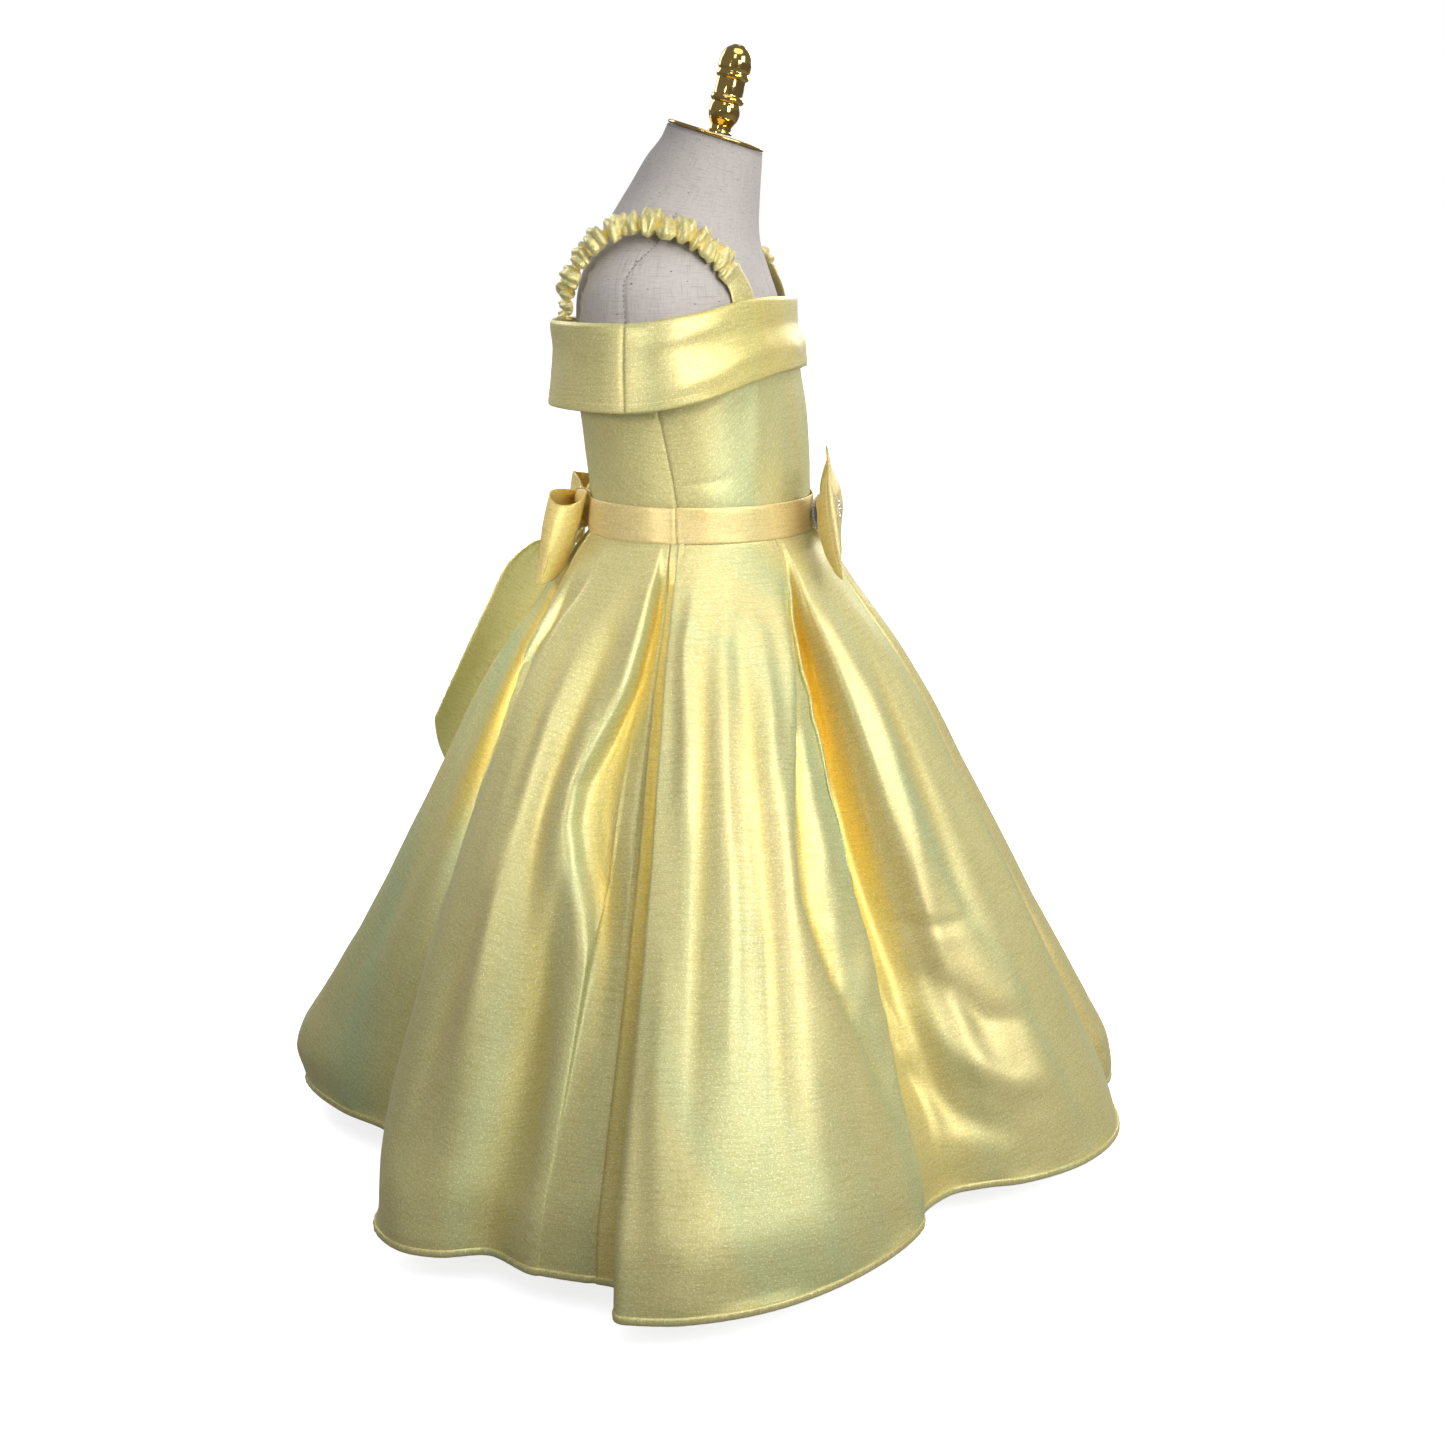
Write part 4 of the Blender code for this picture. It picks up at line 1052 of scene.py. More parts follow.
def crease(grid, lines, cy=0.0):
    """How far creases move each point of a grid outward, in metres."""
    psi = np.degrees(np.arctan2(-grid[..., 0], -(grid[..., 1] - cy))) % 360
    r = np.hypot(grid[..., 0], grid[..., 1] - cy)
    out = np.zeros(grid.shape[:2])
    for rise, width, *places in lines:
        mid = places[len(places) // 2][0]
        x = np.radians((psi - mid + 180) % 360 - 180) * r
        z = grid[..., 2]
        run = [0.0]
        for (a0, z0), (a1, z1) in zip(places, places[1:]):
            run.append(run[-1] + math.hypot(math.radians(a1 - a0) * 0.2, z1 - z0))
        near = np.full(out.shape, 1e9)
        share = np.zeros(out.shape)
        for k, ((a0, z0), (a1, z1)) in enumerate(zip(places, places[1:])):
            x0, x1 = np.radians(a0 - mid) * r, np.radians(a1 - mid) * r
            dx, dz = x1 - x0, z1 - z0
            f = np.clip(((x - x0) * dx + (z - z0) * dz) / (dx * dx + dz * dz), 0, 1)
            far = np.hypot(x - x0 - f * dx, z - z0 - f * dz)
            closer = far < near
            near = np.where(closer, far, near)
            share = np.where(closer, (run[k] + f * (run[k + 1] - run[k])) / run[-1], share)
        ends = np.sin(math.pi * np.clip(share, 0, 1)) ** 0.7
        out += rise / 1000 * np.exp(-((near * 1000 / width) ** 2)) * ends
    return out


def ring_radius(t, straight, degrees):
    """The skirt's radius at one degree in each row, between two rows of the pleat table."""
    first, last = (row_at(deg) for deg in straight)
    ring, ang = skirt_base(np.linspace(first, last, 200), t)
    out = []
    for line, a, deg in zip(ring, np.degrees(ang), degrees):
        order = np.argsort(a)
        out.append(np.interp(deg, a[order], np.hypot(line[order, 0], line[order, 1])))
    return np.array(out)[:, None]


def opened(grid, t):
    """How far the open pleats move each point of a grid, in metres.

    The first result is outward, negative in the hollow and positive on the folded edge. The
    second is round the body, which lays the folded edge over the hollow, and the third is
    straight in toward the axis, where a floor is laid between two rows.
    """
    psi = np.degrees(np.arctan2(-grid[..., 0], -grid[..., 1])) % 360
    z = grid[..., 2]
    out, over, drop = np.zeros(z.shape), np.zeros(z.shape), np.zeros(z.shape)
    for depth, straight, *rows_down in HOLLOWS:
        body = np.array(rows_down[::-1])
        edge, far, share, lift = (np.interp(z, body[:, 0], body[:, k]) for k in (1, 2, 3, 4))
        way = np.sign(far - edge)
        inside = (psi - edge) * way
        width = np.abs(far - edge)
        floor = smooth(-0.3, 2.2, inside) * (1 - smooth(width - 1.6, width + 0.4, inside))
        ridge = np.exp(-(((inside + 1.2) / np.where(inside > -1.2, 1.2, 5.0)) ** 2))
        sink = depth / 1000 * share * floor
        if straight:
            at_edge = ring_radius(t, straight, edge[:, 0] - 1.6 * way[:, 0])
            at_far = ring_radius(t, straight, far[:, 0] - 0.4 * way[:, 0])
            f = np.clip(inside / np.maximum(width, 0.1), 0, 1)
            level = at_edge + (at_far - at_edge) * f - depth / 1000 * bump(f, 0.30, 0.34)
            near = smooth(-0.2, 1.3, inside) * (1 - smooth(width - 1.0, width - 0.2, inside))
            drop += (np.hypot(grid[..., 0], grid[..., 1]) - level) * near * np.clip(share * 1.6, 0, 1)
            sink = 0
        out += depth / 1000 * 0.55 * lift * ridge - sink
        over += way * 0.0030 * lift * np.exp(-(((inside + 0.5) / 1.6) ** 2))
    return out, over, drop


def hollow(grid):
    """0 to 1: how much a place of the skirt lies behind its neighbours round it."""
    r = np.hypot(grid[..., 0], grid[..., 1])
    psi = np.unwrap(np.arctan2(-grid[..., 0], -grid[..., 1]), axis=1)
    out = np.zeros_like(r)
    for j in range(len(r)):
        order = np.argsort(psi[j])
        a, q = psi[j][order], r[j][order]
        deep = np.zeros(len(a))
        for reach, full in FOLD_REACHES:
            left, right = np.interp(a - reach, a, q), np.interp(a + reach, a, q)
            both = 0.65 * np.minimum(left, right) + 0.35 * np.maximum(left, right)
            deep = np.maximum(deep, (both - q) / full)
        row = np.zeros(len(a))
        row[order] = np.clip(deep, 0, 1)
        out[j] = row
    return out


def skirt_levels():
    """Places down the skirt, close together at the waist and near the hem."""
    return stretches((0, 0.06, 9), (0.06, 0.975, 100), (0.975, 1.0, 12))


def flutes(grid, t):
    """Soft uneven waves of the cloth, long down the skirt, and small ones at the waist's seam."""
    psi = np.arctan2(-grid[..., 0], -grid[..., 1])
    z = grid[..., 2]
    tall = np.stack((6.5 * np.sin(psi), 6.5 * np.cos(psi), z * 4.0), axis=-1)
    finer = np.stack((15 * np.sin(psi), 15 * np.cos(psi), z * 7.0), axis=-1)
    soft = grain(tall, 1.0, 3) * 0.0046 + grain(finer, 1.0, 9) * 0.0013
    soft = soft + grain(grid, 14.0, 3) * 0.0010 + grain(grid, 45.0, 5) * 0.0003
    along = np.diff(grid[:1], axis=1, prepend=grid[:1, :1])
    pucker = np.sin(np.cumsum(np.linalg.norm(along, axis=-1), axis=1) * 900)
    shown = smooth(0.05, 0.3, t)[:, None] * (1 - smooth(0.97, 1.0, t))[:, None]
    return soft * shown + pucker * 0.00012 * (1 - smooth(0.0, 0.04, t))[:, None]


def off_form(grid):
    """Moves a skirt's cloth out where it would touch the form's hips."""
    psi = np.arctan2(-grid[..., 0], -grid[..., 1])
    r, z = np.hypot(grid[..., 0], grid[..., 1]), grid[..., 2]
    form, _ = section(FORM, np.maximum(z, FORM[1][0]), psi)
    near = (z > HIP_FOLDS[0]) & (z < HIP_FOLDS[1])
    grid[..., :2] *= np.where(near, np.maximum(r, form + FOLDS_OFF_FORM) / r, 1.0)[..., None]
    return grid


def skirt_grid(first, last, per_row, under):
    """A panel's outer face. Where under is true, that seam's edge lies beneath its neighbour."""
    step = 1 / per_row
    start, stop = first - 0.14 * under[0], last + 0.14 * under[1]
    inner = np.arange(first + step, last - step / 2, step)
    s = np.concatenate(([start - 0.02, start], inner, [stop, stop + 0.02]))
    t = skirt_levels()
    grid, _ = skirt_base(s, t)
    n = slopes(grid)
    fade = smooth(0.02, 0.12, t)[:, None] * (1 - smooth(0.985, 1.0, t))[:, None]
    sunk, over, drop = opened(grid, t)
    move = (crease(grid, SKIRT_CREASES) * CREASE_FULLER + sunk) * fade + flutes(grid, t)
    if under[0]:
        move = move - LAP_UNDER * (1 - smooth(first + 0.02, first + 0.20, s))[None, :]
    if under[1]:
        move = move - LAP_UNDER * smooth(last - 0.20, last - 0.02, s)[None, :]
    move = move + grain(grid, 60.0, 41) * 0.0016 * np.clip(-sunk * 140, 0, 1)
    side = np.gradient(grid, axis=1)
    side /= np.linalg.norm(side, axis=-1, keepdims=True)
    away = grid * np.array((1, 1, 0)) / np.hypot(grid[..., 0], grid[..., 1])[..., None]
    grid = grid + n * move[..., None] + side * (over * fade)[..., None]
    grid = off_form(grid - away * (drop * fade)[..., None])
    tuck = grid[:1] * np.array((0.9985, 0.9985, 1.0)) + np.array((0, 0, TUCK_UP))
    return np.concatenate((tuck, grid)), np.concatenate(([0.0], t))


def painted_fold_shade(grid, t):
    """0 to 1: how much painted fold shade, the gold of shade and bounced light in a fold, each place of a
    skirt panel gets.
    """
    inner = grid[:, 1:-1]
    shown = smooth(0.0, 0.03, t)[:, None]
    fold = hollow(grid)[:, 1:-1] * shown * (1 - 0.7 * smooth(0.35, 0.9, t))[:, None]
    psi = np.degrees(np.arctan2(-inner[..., 0], -inner[..., 1])) % 360
    z = inner[..., 2]
    for deg, width, low, high, much in PAINTED_FOLD_GOLD:
        tall = smooth(low - 0.05, low + 0.03, z) * (1 - smooth(high - 0.02, high + 0.01, z))
        fold = np.maximum(fold, much * bump(psi, deg, width) * tall)
    return fold


class GOWN_OT_skirt(bpy.types.Operator):
    """Builds the skirt: three panels with box pleats, and the rolled hem with its stitches"""

    bl_idname = "gown.skirt"
    bl_label = "Skirt"

    def execute(self, context):
        sizes = context.scene.gown_sizes
        back, left, count = row_at(180.0), row_at(270.0), len(PLEATS) - 1
        right = row_at(90.0)
        panels = (
            ("skirt_front", left - count, right, 10, (0, 0)),
            ("skirt_back_right", right, back, 14, (1, 0)),
            ("skirt_back_left", back, left, 14, (1, 1)),
        )
        for name, first, last, per_row, under in panels:
            grid, t = skirt_grid(first, last, per_row, under)
            fold = painted_fold_shade(grid, t)
            o = wall(name, grid, sizes.cloth_wall, gaps=(False, False), fold=fold)
            hem = self.rolled_hem(name + "_hem", grid, sizes)
            line = self.hem_line(grid, sizes)
            sewn = stitches(name + "_hem_stitches", [line])
            finish_piece(o, material("satin"), "satin", name)
            uv = lengths(grid[:, 1:-1])
        return {"FINISHED"}

    def hem_line(self, grid, sizes):
        """The stitch line just above the rolled hem."""
        inner = grid[:, 1:-1]
        n = slopes(grid)[:, 1:-1]
        z = HEM_Z + sizes.hem_height * 0.93
        j = int(np.argmin(np.abs(inner[:, 0, 2] - z)))
        return (inner[j] + n[j] * STITCH_LIFT)[2:-2]

    def rolled_hem(self, name, grid, sizes):
        """A narrow roll of cloth round the bottom edge, twisted into slanting ripples."""
        inner, n = grid[:, 1:-1], slopes(grid)[:, 1:-1]
        bottom, out = inner[-1], n[-1].copy()
        out[:, 2] = 0
        out /= np.maximum(np.linalg.norm(out, axis=1, keepdims=True), 1e-9)
        along = np.concatenate(([0], np.cumsum(np.linalg.norm(np.diff(bottom, axis=0), axis=1))))
        ring_pitch, sides = 0.0011, 10
        count = int(along[-1] / ring_pitch)
        at = np.linspace(GAP, along[-1] - GAP, count)
        line = np.stack([np.interp(at, along, bottom[:, k]) for k in range(3)], axis=1)
        side = np.stack([np.interp(at, along, out[:, k]) for k in range(3)], axis=1)
        line = line - side * sizes.cloth_wall * 0.5
        half_h, half_t, ripple, sunk = sizes.hem_height / 2, 0.0011, 0.00042, 0.0002
        rings = []
        for a in circle(sides):
            up, go = math.sin(a), math.cos(a)
            phase = at / sizes.hem_ripple * 2 * math.pi + 1.3 * up
            wave = ripple * (0.5 + 0.5 * np.sin(phase)) ** 1.5 * (1.0 if go > -0.2 else 0.3)
            lift = half_h * up + half_h - sunk
            off = half_t * go + wave * go
            rings.append(line + side * off[:, None] + np.array((0, 0, 1.0)) * lift)
        points = np.stack(rings, axis=1).reshape(-1, 3)
        o = new_mesh(name, points, tube_faces(count, sides))
        u = np.repeat(at, sides)
        v = np.tile(np.arange(sides) * sizes.hem_height / sides, count)
        mark(o, np.stack((u, v), axis=1))
        right_way_out(o)
        return finish_piece(o, material("satin"), "satin")


def volume(mesh):
    mesh.calc_loop_triangles()
    co = np.array([v.co for v in mesh.vertices])
    tri = np.array([t.vertices for t in mesh.loop_triangles])
    a, b, c = co[tri[:, 0]], co[tri[:, 1]], co[tri[:, 2]]
    return float((a * np.cross(b, c)).sum() / 6)


def right_way_out(o):
    """Turns a closed mesh's faces outward if they all face in."""
    if volume(o.data) < 0:
        o.data.flip_normals()
    return o


# Bodice, cuff and waistband
BODICE_CREASES = (
    (0.7, 2.4, (70.0, 0.574), (86.0, 0.560)),
    (-0.5, 3.0, (62.0, 0.568), (80.0, 0.552)),
    (0.8, 1.8, (84.0, 0.585), (86.0, 0.500)),
    (1.0, 7.0, (48.0, 0.600), (50.0, 0.500)),
    (0.8, 8.0, (30.0, 0.600), (31.0, 0.500)),
    (0.7, 8.0, (14.0, 0.590), (14.0, 0.500)),
    (-0.5, 3.0, (60.0, 0.512), (84.0, 0.506)),
    (0.6, 3.0, (100.0, 0.560), (118.0, 0.548)),
    (0.6, 4.0, (104.0, 0.520), (130.0, 0.512)),
    (0.8, 8.0, (150.0, 0.590), (152.0, 0.500)),
    (0.8, 8.0, (208.0, 0.590), (208.0, 0.500)),
    (0.6, 3.0, (236.0, 0.560), (256.0, 0.548)),
    (0.8, 1.8, (276.0, 0.585), (274.0, 0.500)),
    (0.7, 2.6, (278.0, 0.556), (296.0, 0.570)),
    (0.9, 7.0, (310.0, 0.600), (311.0, 0.500)),
    (0.8, 8.0, (330.0, 0.600), (330.0, 0.500)),
    (0.7, 8.0, (346.0, 0.590), (346.0, 0.500)),
)
CUFF_CREASES = (
    (1.0, 5.0, (92.0, 0.600), (60.0, 0.618)),
    (1.1, 6.0, (88.0, 0.568), (56.0, 0.590)),
    (0.9, 6.0, (60.0, 0.590), (36.0, 0.604)),
    (1.2, 5.0, (118.0, 0.612), (122.0, 0.562)),
    (0.8, 6.0, (142.0, 0.612), (140.0, 0.562)),
    (-0.8, 4.0, (104.0, 0.604), (108.0, 0.570)),
    (0.6, 5.0, (42.0, 0.628), (44.0, 0.590)),
    (0.7, 5.0, (20.0, 0.600), (2.0, 0.594)),
    (0.7, 5.0, (340.0, 0.600), (356.0, 0.606)),
    (1.0, 6.0, (320.0, 0.604), (300.0, 0.590)),
    (1.0, 5.0, (268.0, 0.600), (298.0, 0.616)),
    (1.1, 5.0, (242.0, 0.612), (240.0, 0.562)),
    (0.8, 6.0, (222.0, 0.612), (224.0, 0.562)),
    (0.6, 5.0, (170.0, 0.600), (196.0, 0.590)),
)


def bodice_grid(edge_a, edge_b, us, shares):
    """Outer face of a bodice panel whose two seams are functions of the height share."""
    share = np.asarray(shares, float)[:, None]
    deg = edge_a(share) * (1 - us[None, :]) + edge_b(share) * us[None, :]
    psi = np.radians(deg)
    turned_deg = deg % 360
    front = np.where(turned_deg <= 180, turned_deg, 360 - turned_deg)
    top = follow(BODICE_EDGE, front, 1)
    z = BAND_TOP_Z + GAP + (top - BAND_TOP_Z - GAP) * share
    r, cy = section(BODICE, z, psi)
    inner, _ = section(FORM, z, psi)
    return around(psi, np.maximum(r, inner + BODICE_OFF_FORM), cy, z)


def seam_deg(share):
    return 87.6 + 4.6 * share


class GOWN_OT_bodice(bpy.types.Operator):
    """Builds the fitted bodice: front and two backs with their side seams"""

    bl_idname = "gown.bodice"
    bl_label = "Bodice"

    def execute(self, context):
        sizes = context.scene.gown_sizes
        panels = (
            ("bodice_front", lambda s: -seam_deg(s), seam_deg, 120),
            ("bodice_back_right", seam_deg, lambda s: 180.0 + 0 * s, 64),
            ("bodice_back_left", lambda s: 180.0 + 0 * s, lambda s: 360 - seam_deg(s), 64),
        )
        shares = stretches((1, 0.04, 46), (0.04, 0.0, 6))
        for name, a, b, count in panels:
            grid = bodice_grid(a, b, fine(0, 1, count), shares)
            n = slopes(grid)
            move = crease(grid, BODICE_CREASES, 0.005) + grain(grid, 30.0, 11) * 0.0004
            move = move * smooth(0.0, 0.08, shares)[:, None]
            move = move - 0.0002 * bump(shares, 0.0, 0.02)[:, None]
            grid = grid + n * move[..., None]
            grid = np.concatenate((grid, grid[-1:] - np.array((0, 0, TUCK_UP))))
            o = wall(name, grid, sizes.cloth_wall, seams=0.0011)
            finish_piece(o, material("satin"), "satin", name)
        return {"FINISHED"}


def cuff_grid(deg, shares):
    share = np.asarray(shares, float)[:, None]
    psi = np.radians(np.asarray(deg, float))[None, :]
    turned_deg = np.degrees(psi) % 360
    front = np.where(turned_deg <= 180, turned_deg, 360 - turned_deg)
    top, low = follow(CUFF_EDGE, front, 1), follow(CUFF_EDGE, front, 2)
    a, bf, bb = (follow(CUFF, share, k) for k in (1, 2, 3))
    return around(psi, oval(psi, a, bf, bb), CUFF_CY, top + (low - top) * share)


class GOWN_OT_cuff(bpy.types.Operator):
    """Builds the fold-over cuff: front and two backs, with the stitches near its lower edge"""

    bl_idname = "gown.cuff"
    bl_label = "Cuff"

    def execute(self, context):
        sizes = context.scene.gown_sizes
        shares = stretches((0, 0.06, 9), (0.06, 0.95, 36), (0.95, 1.0, 7))
        for name, a, b, count in (
            ("cuff_front", -95, 95, 160),
            ("cuff_back_right", 95, 180, 74),
            ("cuff_back_left", 180, 265, 74),
        ):
            grid = cuff_grid(fine(a, b, count), shares)
            n = slopes(grid)
            edge = bump(shares, 0.0, 0.022) * 0.0012 + bump(shares, 1.0, 0.016) * 0.0007
            move = crease(grid, CUFF_CREASES, CUFF_CY) + grain(grid, 22.0, 17) * 0.0007
            inside = (smooth(0.0, 0.1, shares) * (1 - 0.6 * smooth(0.9, 1.0, shares)))[:, None]
            grid = grid + n * (move * inside - edge[:, None])[..., None]
            # Painted shade: the cuff turns fold gold on both sides of the front
            middle, half, much = CUFF_PAINTED_FOLD_GOLD
            off = (np.abs(np.linspace(a, b, grid.shape[1])[1:-1]) - middle) / half
            fold = np.repeat(much * np.exp(-(off**4))[None], len(shares), axis=0)
            o = wall(name, grid, sizes.cuff_wall, fold=fold, seams=0.0005)
            j = int(np.argmin(np.abs(shares - 0.90)))
            line = (grid + n * STITCH_LIFT)[j, 3:-3]
            sewn = stitches(name + "_stitches", [line])
            finish_piece(o, material("satin"), "satin", name)
        return {"FINISHED"}


def band_grid(deg, shares):
    share = np.asarray(shares, float)[:, None]
    psi = np.radians(np.asarray(deg, float))[None, :]
    r = oval(psi, WAIST_HALF_X, WAIST_HALF_Y, WAIST_HALF_Y) + BAND_OVER - 0.0012 * (1 - share)
    return around(psi, r, 0.0, BAND_TOP_Z + (WAIST_Z + GAP - BAND_TOP_Z) * share)


class GOWN_OT_waistband(bpy.types.Operator):
    """Builds the waistband in three lengths, drawn in along its seams"""

    bl_idname = "gown.waistband"
    bl_label = "Waistband"

    def execute(self, context):
        shares = stretches((0, 0.12, 7), (0.12, 0.88, 20), (0.88, 1.0, 7))
        for name, a, b, count in (
            ("waistband_front", -88, 88, 200),
            ("waistband_back_right", 88, 180, 100),
            ("waistband_back_left", 180, 272, 100),
        ):
            grid = band_grid(fine(a, b, count), shares)
            n = slopes(grid)
            edge = (bump(shares, 0.0, 0.03) + bump(shares, 1.0, 0.03)) * 0.0005
            move = grain(grid, 45.0, 23) * 0.0005 * smooth(0, 0.15, shares)[:, None]
            pucker = grain(grid * np.array((1, 1, 0.25)), 170.0, 29) * 0.00035
            near = (bump(shares, 0.06, 0.10) + bump(shares, 0.94, 0.10))[:, None]
            grid = grid + n * (move + pucker * near - edge[:, None])[..., None]
            o = wall(name, grid, BAND_WALL, seams=0.0008)
            finish_piece(o, material("band"), "satin", name)
        return {"FINISHED"}


# Straps
def strap_path(side, at):
    """Centres and directions along the strap at shares of its length, 0 at the front."""
    body = np.array(STRAP[1:], float)
    mids = body[:, :3] / 1000
    mids[:, 0] *= -side
    along = np.concatenate(([0], np.cumsum(np.linalg.norm(np.diff(mids, axis=0), axis=1))))
    total = along[-1]
    table = [("d", "x", "y", "z", "w", "t")] + [
        (along[k], *mids[k], body[k, 3] / 1000, body[k, 4] / 1000) for k in range(len(body))
    ]
    d = at * total
    c = np.stack([follow(table, d, k) for k in (1, 2, 3)], axis=1)
    hw, ht = follow(table, d, 4), follow(table, d, 5)
    go = np.gradient(c, axis=0)
    go /= np.linalg.norm(go, axis=1, keepdims=True)
    centre = np.stack((c[:, 0] * 0.45, np.full(len(c), 0.014), np.full(len(c), 0.610)), axis=1)
    out = c - centre
    out /= np.linalg.norm(out, axis=1, keepdims=True)
    wide = np.cross(go, out)
    wide /= np.linalg.norm(wide, axis=1, keepdims=True)
    thin = np.cross(wide, go)
    return c, wide, thin, hw, ht, total


# Pinches of the ruched strap: share of its length from the front, how tight, and slant
PINCHES = (
    ("at", "tight", "slant"),
    (0.168, 0.7, 0.010),
    (0.226, 0.9, -0.012),
    (0.272, 0.7, 0.016),
    (0.318, 1.0, 0.004),
    (0.384, 0.8, -0.014),
    (0.432, 1.0, 0.012),
    (0.500, 1.0, -0.006),
    (0.548, 0.7, 0.016),
    (0.622, 1.0, -0.012),
    (0.700, 1.0, 0.010),
    (0.775, 0.9, -0.010),
    (0.838, 1.0, 0.014),
    (0.890, 0.8, -0.008),
    (0.934, 1.0, 0.010),
    (0.972, 0.9, -0.010),
)


class GOWN_OT_straps(bpy.types.Operator):
    """Builds the two ruched shoulder straps"""

    bl_idname = "gown.straps"
    bl_label = "Straps"

    def execute(self, context):
        for name, side in (("strap_right", -1), ("strap_left", 1)):
            self.strap(name, side, context.scene.gown_sizes)
        return {"FINISHED"}

    def strap(self, name, side, sizes):
        """A tube of cloth that is pinched at each ruche and puffs out between them."""
        stations, sides = 360, 34
        at = np.linspace(0, 1, stations)
        c, wide, thin, hw, ht, total = strap_path(side, at)
        pins = np.array(PINCHES[1:], float)
        if side > 0:
            pins[:, 0] = pins[:, 0] + 0.010 * np.sin(np.arange(len(pins)) * 2.4)
            pins[:, 2] *= -1
        a = circle(sides)
        w, h = np.cos(a)[None, :], np.sin(a)[None, :]
        ruched = smooth(0.11, 0.19, at)[:, None]
        spread = (1 - smooth(0.0, 0.13, at))[:, None]
        where = at[:, None] + 0 * w
        gather = np.zeros((stations, sides))
        puff_id = np.zeros((stations, sides))
        for p, tight, slant in pins:
            here = p + slant * w
            gather = np.maximum(gather, tight * bump(where - here, 0.0, 0.0095))
            puff_id += smooth(-0.002, 0.002, where - here)
        puff = 1 - gather
        lobe = np.sin(puff_id * 2.399 + 0.8)
        lobe_out = np.sin(puff_id * 4.1 + 2.0)
        minor = np.abs(np.sin(where * total * 430 + 2.6 * np.sin(puff_id * 1.7) + 2.1 * w + 1.1 * h))
        width = 1.0 + ruched * (0.30 * puff - 0.30 * gather + 0.16 * lobe * puff * np.sign(w) * np.abs(w))
        tall = 1.0 + ruched * (1.25 * puff - 0.45 * gather + 0.30 * lobe_out * puff)
        ridge = ruched * (minor - 0.5) * puff
        x = hw[:, None] * w * width * (1 + 0.10 * spread)
        flatten = np.where(h < 0, 0.62, 1.0)
        z = ht[:, None] * h * tall * flatten
        down = np.broadcast_to(at[:, None] * total, x.shape)
        rough = ruched * grain(np.stack((down, x, z), axis=-1), 150.0, 31 + side)
        z = z + (rough * 0.0016 + ridge * 0.0022) * np.clip(h + 0.25, 0, 1)
        x = x + (rough * 0.0014 + ridge * 0.0016) * w
        outer = c[:, None, :] - wide[:, None, :] * x[..., None] + thin[:, None, :] * z[..., None]
        inner = c[:, None, :] + (outer - c[:, None, :]) * (1 - sizes.strap_wall)
        size = stations * sides
        faces = two_skins(grid_faces(stations, sides, closed=True), size)
        for k in range(sides):
            q = (k + 1) % sides
            faces.append((q, k, k + size, q + size))
            last = (stations - 1) * sides
            faces.append((last + k, last + q, last + q + size, last + k + size))
        o = new_mesh(name, np.concatenate((outer.reshape(-1, 3), inner.reshape(-1, 3))), faces)
        uv = np.stack((np.broadcast_to(a[None, :] * 0.006, x.shape), down), axis=-1)
        # Painted shade: the strap turns fold gold in its pinches and between its small ridges
        fold = ruched * np.clip(gather * 0.9 + (0.22 - minor) * 1.0, 0, 1)
        mark(o, np.concatenate((uv.reshape(-1, 2), uv.reshape(-1, 2))), fold)
        right_way_out(o)
        finish_piece(o, material("satin"), "satin", name)


# Front bow
def ribbon_reach(a):
    """0 to 1: how far out a looped ribbon is at an angle from 0 to half a turn round it."""
    return np.where((a > 0) & (a < math.pi), np.abs(np.sin(a)) ** LOOP_POWER, 0.0)


def loop_turns(count, backward):
    """Places round a looped ribbon, with one more past each end."""
    us = np.linspace(0.0001, math.pi - 0.0001, count)
    us = us[::-1] if backward else us
    return np.concatenate((us[:1], us, us[-1:]))


def wing_grid(side, forward, lift, us, qs):
    a, q = np.asarray(us, float)[None, :], np.asarray(qs, float)[:, None]
    f = ribbon_reach(a)
    x = BOW_IN + (BOW_OUT - BOW_IN) * f
    deep = 0.0026 + 0.0056 * (1 - np.abs(q) ** 2.2) * smooth(0.05, 0.75, f)
    tall = BOW_WAIST + (BOW_TALL - BOW_WAIST) * smooth(0.0, 1.05, f)
    pleat = 0.0011 * np.sin(q * 9.5 + side) * (1 - smooth(0.05, 0.75, f)) * np.sign(np.cos(a) + 1e-9)
    curl = 0.0012 * np.sin(2.6 * q + 5.0 * f) * smooth(0.2, 0.9, f)
    deep = deep * (1 - 0.72 * smooth(0.40, 0.80, -q))
    belly = 0.0030 * bump(q, 0.0, 0.55) * f * np.clip(np.cos(a) + 0.2, 0, 1)
    y = BOW_Y - forward * f**1.6 - 0.006 * q * f - deep * np.cos(a) - pleat - curl - belly
    z = BOW_Z - q * tall / 2 + lift * f
    return np.stack(np.broadcast_arrays(side * x, y, z), axis=-1)


